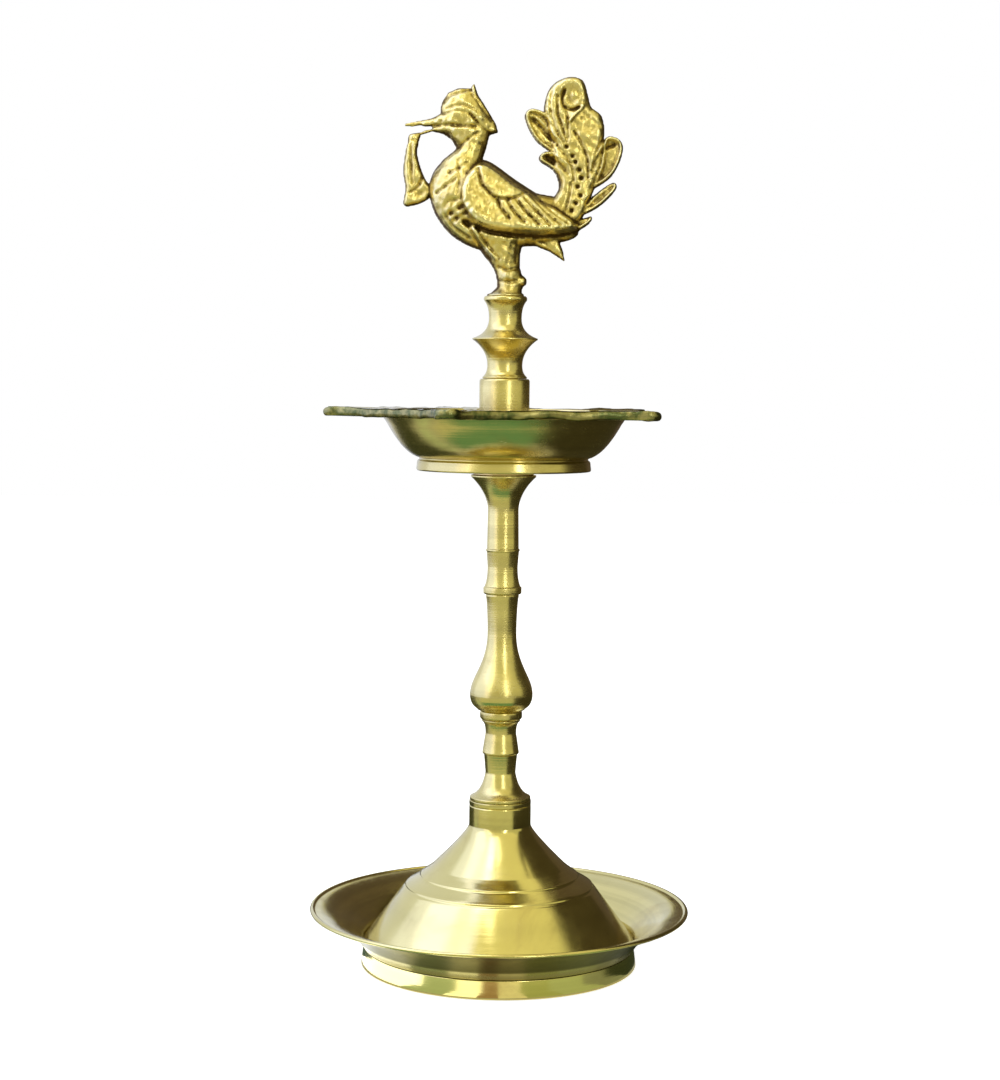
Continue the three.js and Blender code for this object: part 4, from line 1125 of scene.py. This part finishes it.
# The wax for the mould was worked by hand, so no face above the mound is quite even.
clear_of_parting = 0.6
clear_of_foot = 3.0
uneven = (
    0.16 * np.sin(0.83 * across_x + 1.3 * np.sin(0.61 * up_z))
    * np.sin(0.91 * up_z + 1.1 * np.sin(0.47 * across_x))
    + 0.1 * np.sin(1.9 * across_x + 0.7 * up_z) * np.sin(1.6 * up_z - 0.9 * across_x + 0.8)
    + 0.05 * np.sin(4.1 * across_x - 2.2 * up_z) * np.sin(3.7 * up_z + 1.4 * across_x)
)
relief += np.where((relief > clear_of_parting) & (up_z > clear_of_foot), uneven, 0.0)


def skin(field, low, step):
    """The surface where the field passes nothing, as points and four-sided faces: one point in each cell."""
    flat_field = field.ravel()
    inside = field < 0
    strides = np.array([field.shape[1] * field.shape[2], field.shape[2], 1])
    faces, crossings = [], []
    for axis in range(3):
        near, far = [slice(None)] * 3, [slice(None)] * 3
        near[axis], far[axis] = slice(None, -1), slice(1, None)
        place = np.argwhere(inside[tuple(near)] != inside[tuple(far)])
        flat = place @ strides
        before, after = flat_field[flat], flat_field[flat + strides[axis]]
        cross = place.astype(float)
        cross[:, axis] += before / (before - after)
        one, two = strides[(axis + 1) % 3], strides[(axis + 2) % 3]
        cells = np.stack([flat, flat - one, flat - one - two, flat - two], axis=1)
        cells[before > 0] = cells[before > 0][:, ::-1]
        faces.append(cells)
        crossings.append(cross)
    faces = np.concatenate(faces)
    crossings = np.repeat(np.concatenate(crossings), 4, axis=0)
    cells, index = np.unique(faces.ravel(), return_inverse=True)
    share = np.bincount(index)
    points = np.stack([np.bincount(index, weights=crossings[:, k]) / share for k in range(3)], axis=1)
    return points * step + np.array(low), index.reshape(-1, 4)


def softened(values, mask):
    """The mean of the values round each place, inside the mask."""
    grid = [np.fft.fftfreq(n, d=bird_step) for n in values.shape]
    blur = np.exp(-2 * (math.pi * hollow_reach) ** 2 * (grid[0][:, None] ** 2 + grid[1][None, :] ** 2))
    total = np.fft.ifft2(np.fft.fft2(values * mask) * blur).real
    weight = np.fft.ifft2(np.fft.fft2(mask.astype(float)) * blur).real
    return total / np.maximum(weight, 1e-3)


bird_y = np.arange(bird_low[1], bird_high[1], bird_step)
relief = np.maximum(relief, -4.0)
steepness = np.sqrt(1 + np.hypot(*np.gradient(relief, bird_step)) ** 2)
field = (np.abs(bird_y)[None, :, None] - relief[:, None, :]) / steepness[:, None, :]
bird_points, bird_faces = skin(field.astype(np.float32), bird_low, bird_step)
parting = 0.05
hollow_from = 0.05
hollow_over = 0.45
worn_over = 0.6
cast_mask = relief > parting
level_map = softened(relief, cast_mask)
hollow_map = np.clip((level_map - relief - hollow_from) / hollow_over, 0, 1) * cast_mask
worn_map = np.clip((relief - level_map) / worn_over, 0, 1) * cast_mask

bird_mesh = bpy.data.meshes.new("bird_cast")
bird_mesh.from_pydata((bird_points + (0, 0, bird_foot)) / 1000, [], bird_faces.tolist())
at_x = np.clip(((bird_points[:, 0] - bird_low[0]) / bird_step).round().astype(int), 0, len(bird_x) - 1)
at_z = np.clip(((bird_points[:, 2] - bird_low[2]) / bird_step).round().astype(int), 0, len(bird_z) - 1)
for label, values in (("hollow", hollow_map), ("worn", worn_map)):
    layer = bird_mesh.attributes.new(label, "FLOAT", "POINT")
    layer.data.foreach_set("value", values[at_x, at_z].astype(np.float32))
bird_mesh.shade_smooth()
bird = placed("bird_cast", bird_mesh)

# Cast brass: a sand grain, brown in the hollows where polish never reaches, and brighter on the high places.
cast_brass, tree, shader = new_metal("cast_brass")
hollow = marked(tree, "hollow")
years = wire(tree, "ShaderNodeGroup", {"Scale": 1.6}, node_tree=age_group).outputs
dirt = maths(tree, "MULTIPLY_ADD", years["Bloom"], 0.35, hollow)
dirt.use_clamp = True
golden = blend(tree, marked(tree, "worn"), (0.73, 0.58, 0.18), (0.9, 0.81, 0.4))
matt = spread(tree, years["Smear"], (0.3, 0.75), (0.24, 0.38))
spot = wire(tree, "ShaderNodeTexCoord").outputs["Object"]
sand = noise(tree, spot, 760.0, 4.0, 0.65)
lumps = maths(tree, "MULTIPLY_ADD", noise(tree, spot, 210.0, 2.0), 2.5, sand)
plug(tree, shader, {
    "Base Color": blend(tree, dirt, golden, (0.10, 0.06, 0.016)),
    "Roughness": maths(tree, "MULTIPLY_ADD", hollow, 0.3, matt),
    "Normal": wire(tree, "ShaderNodeBump", {"Height": lumps, "Distance": 0.00011}),
})
dress(bird, cast_brass, "finial", "cast_brass", "bird")
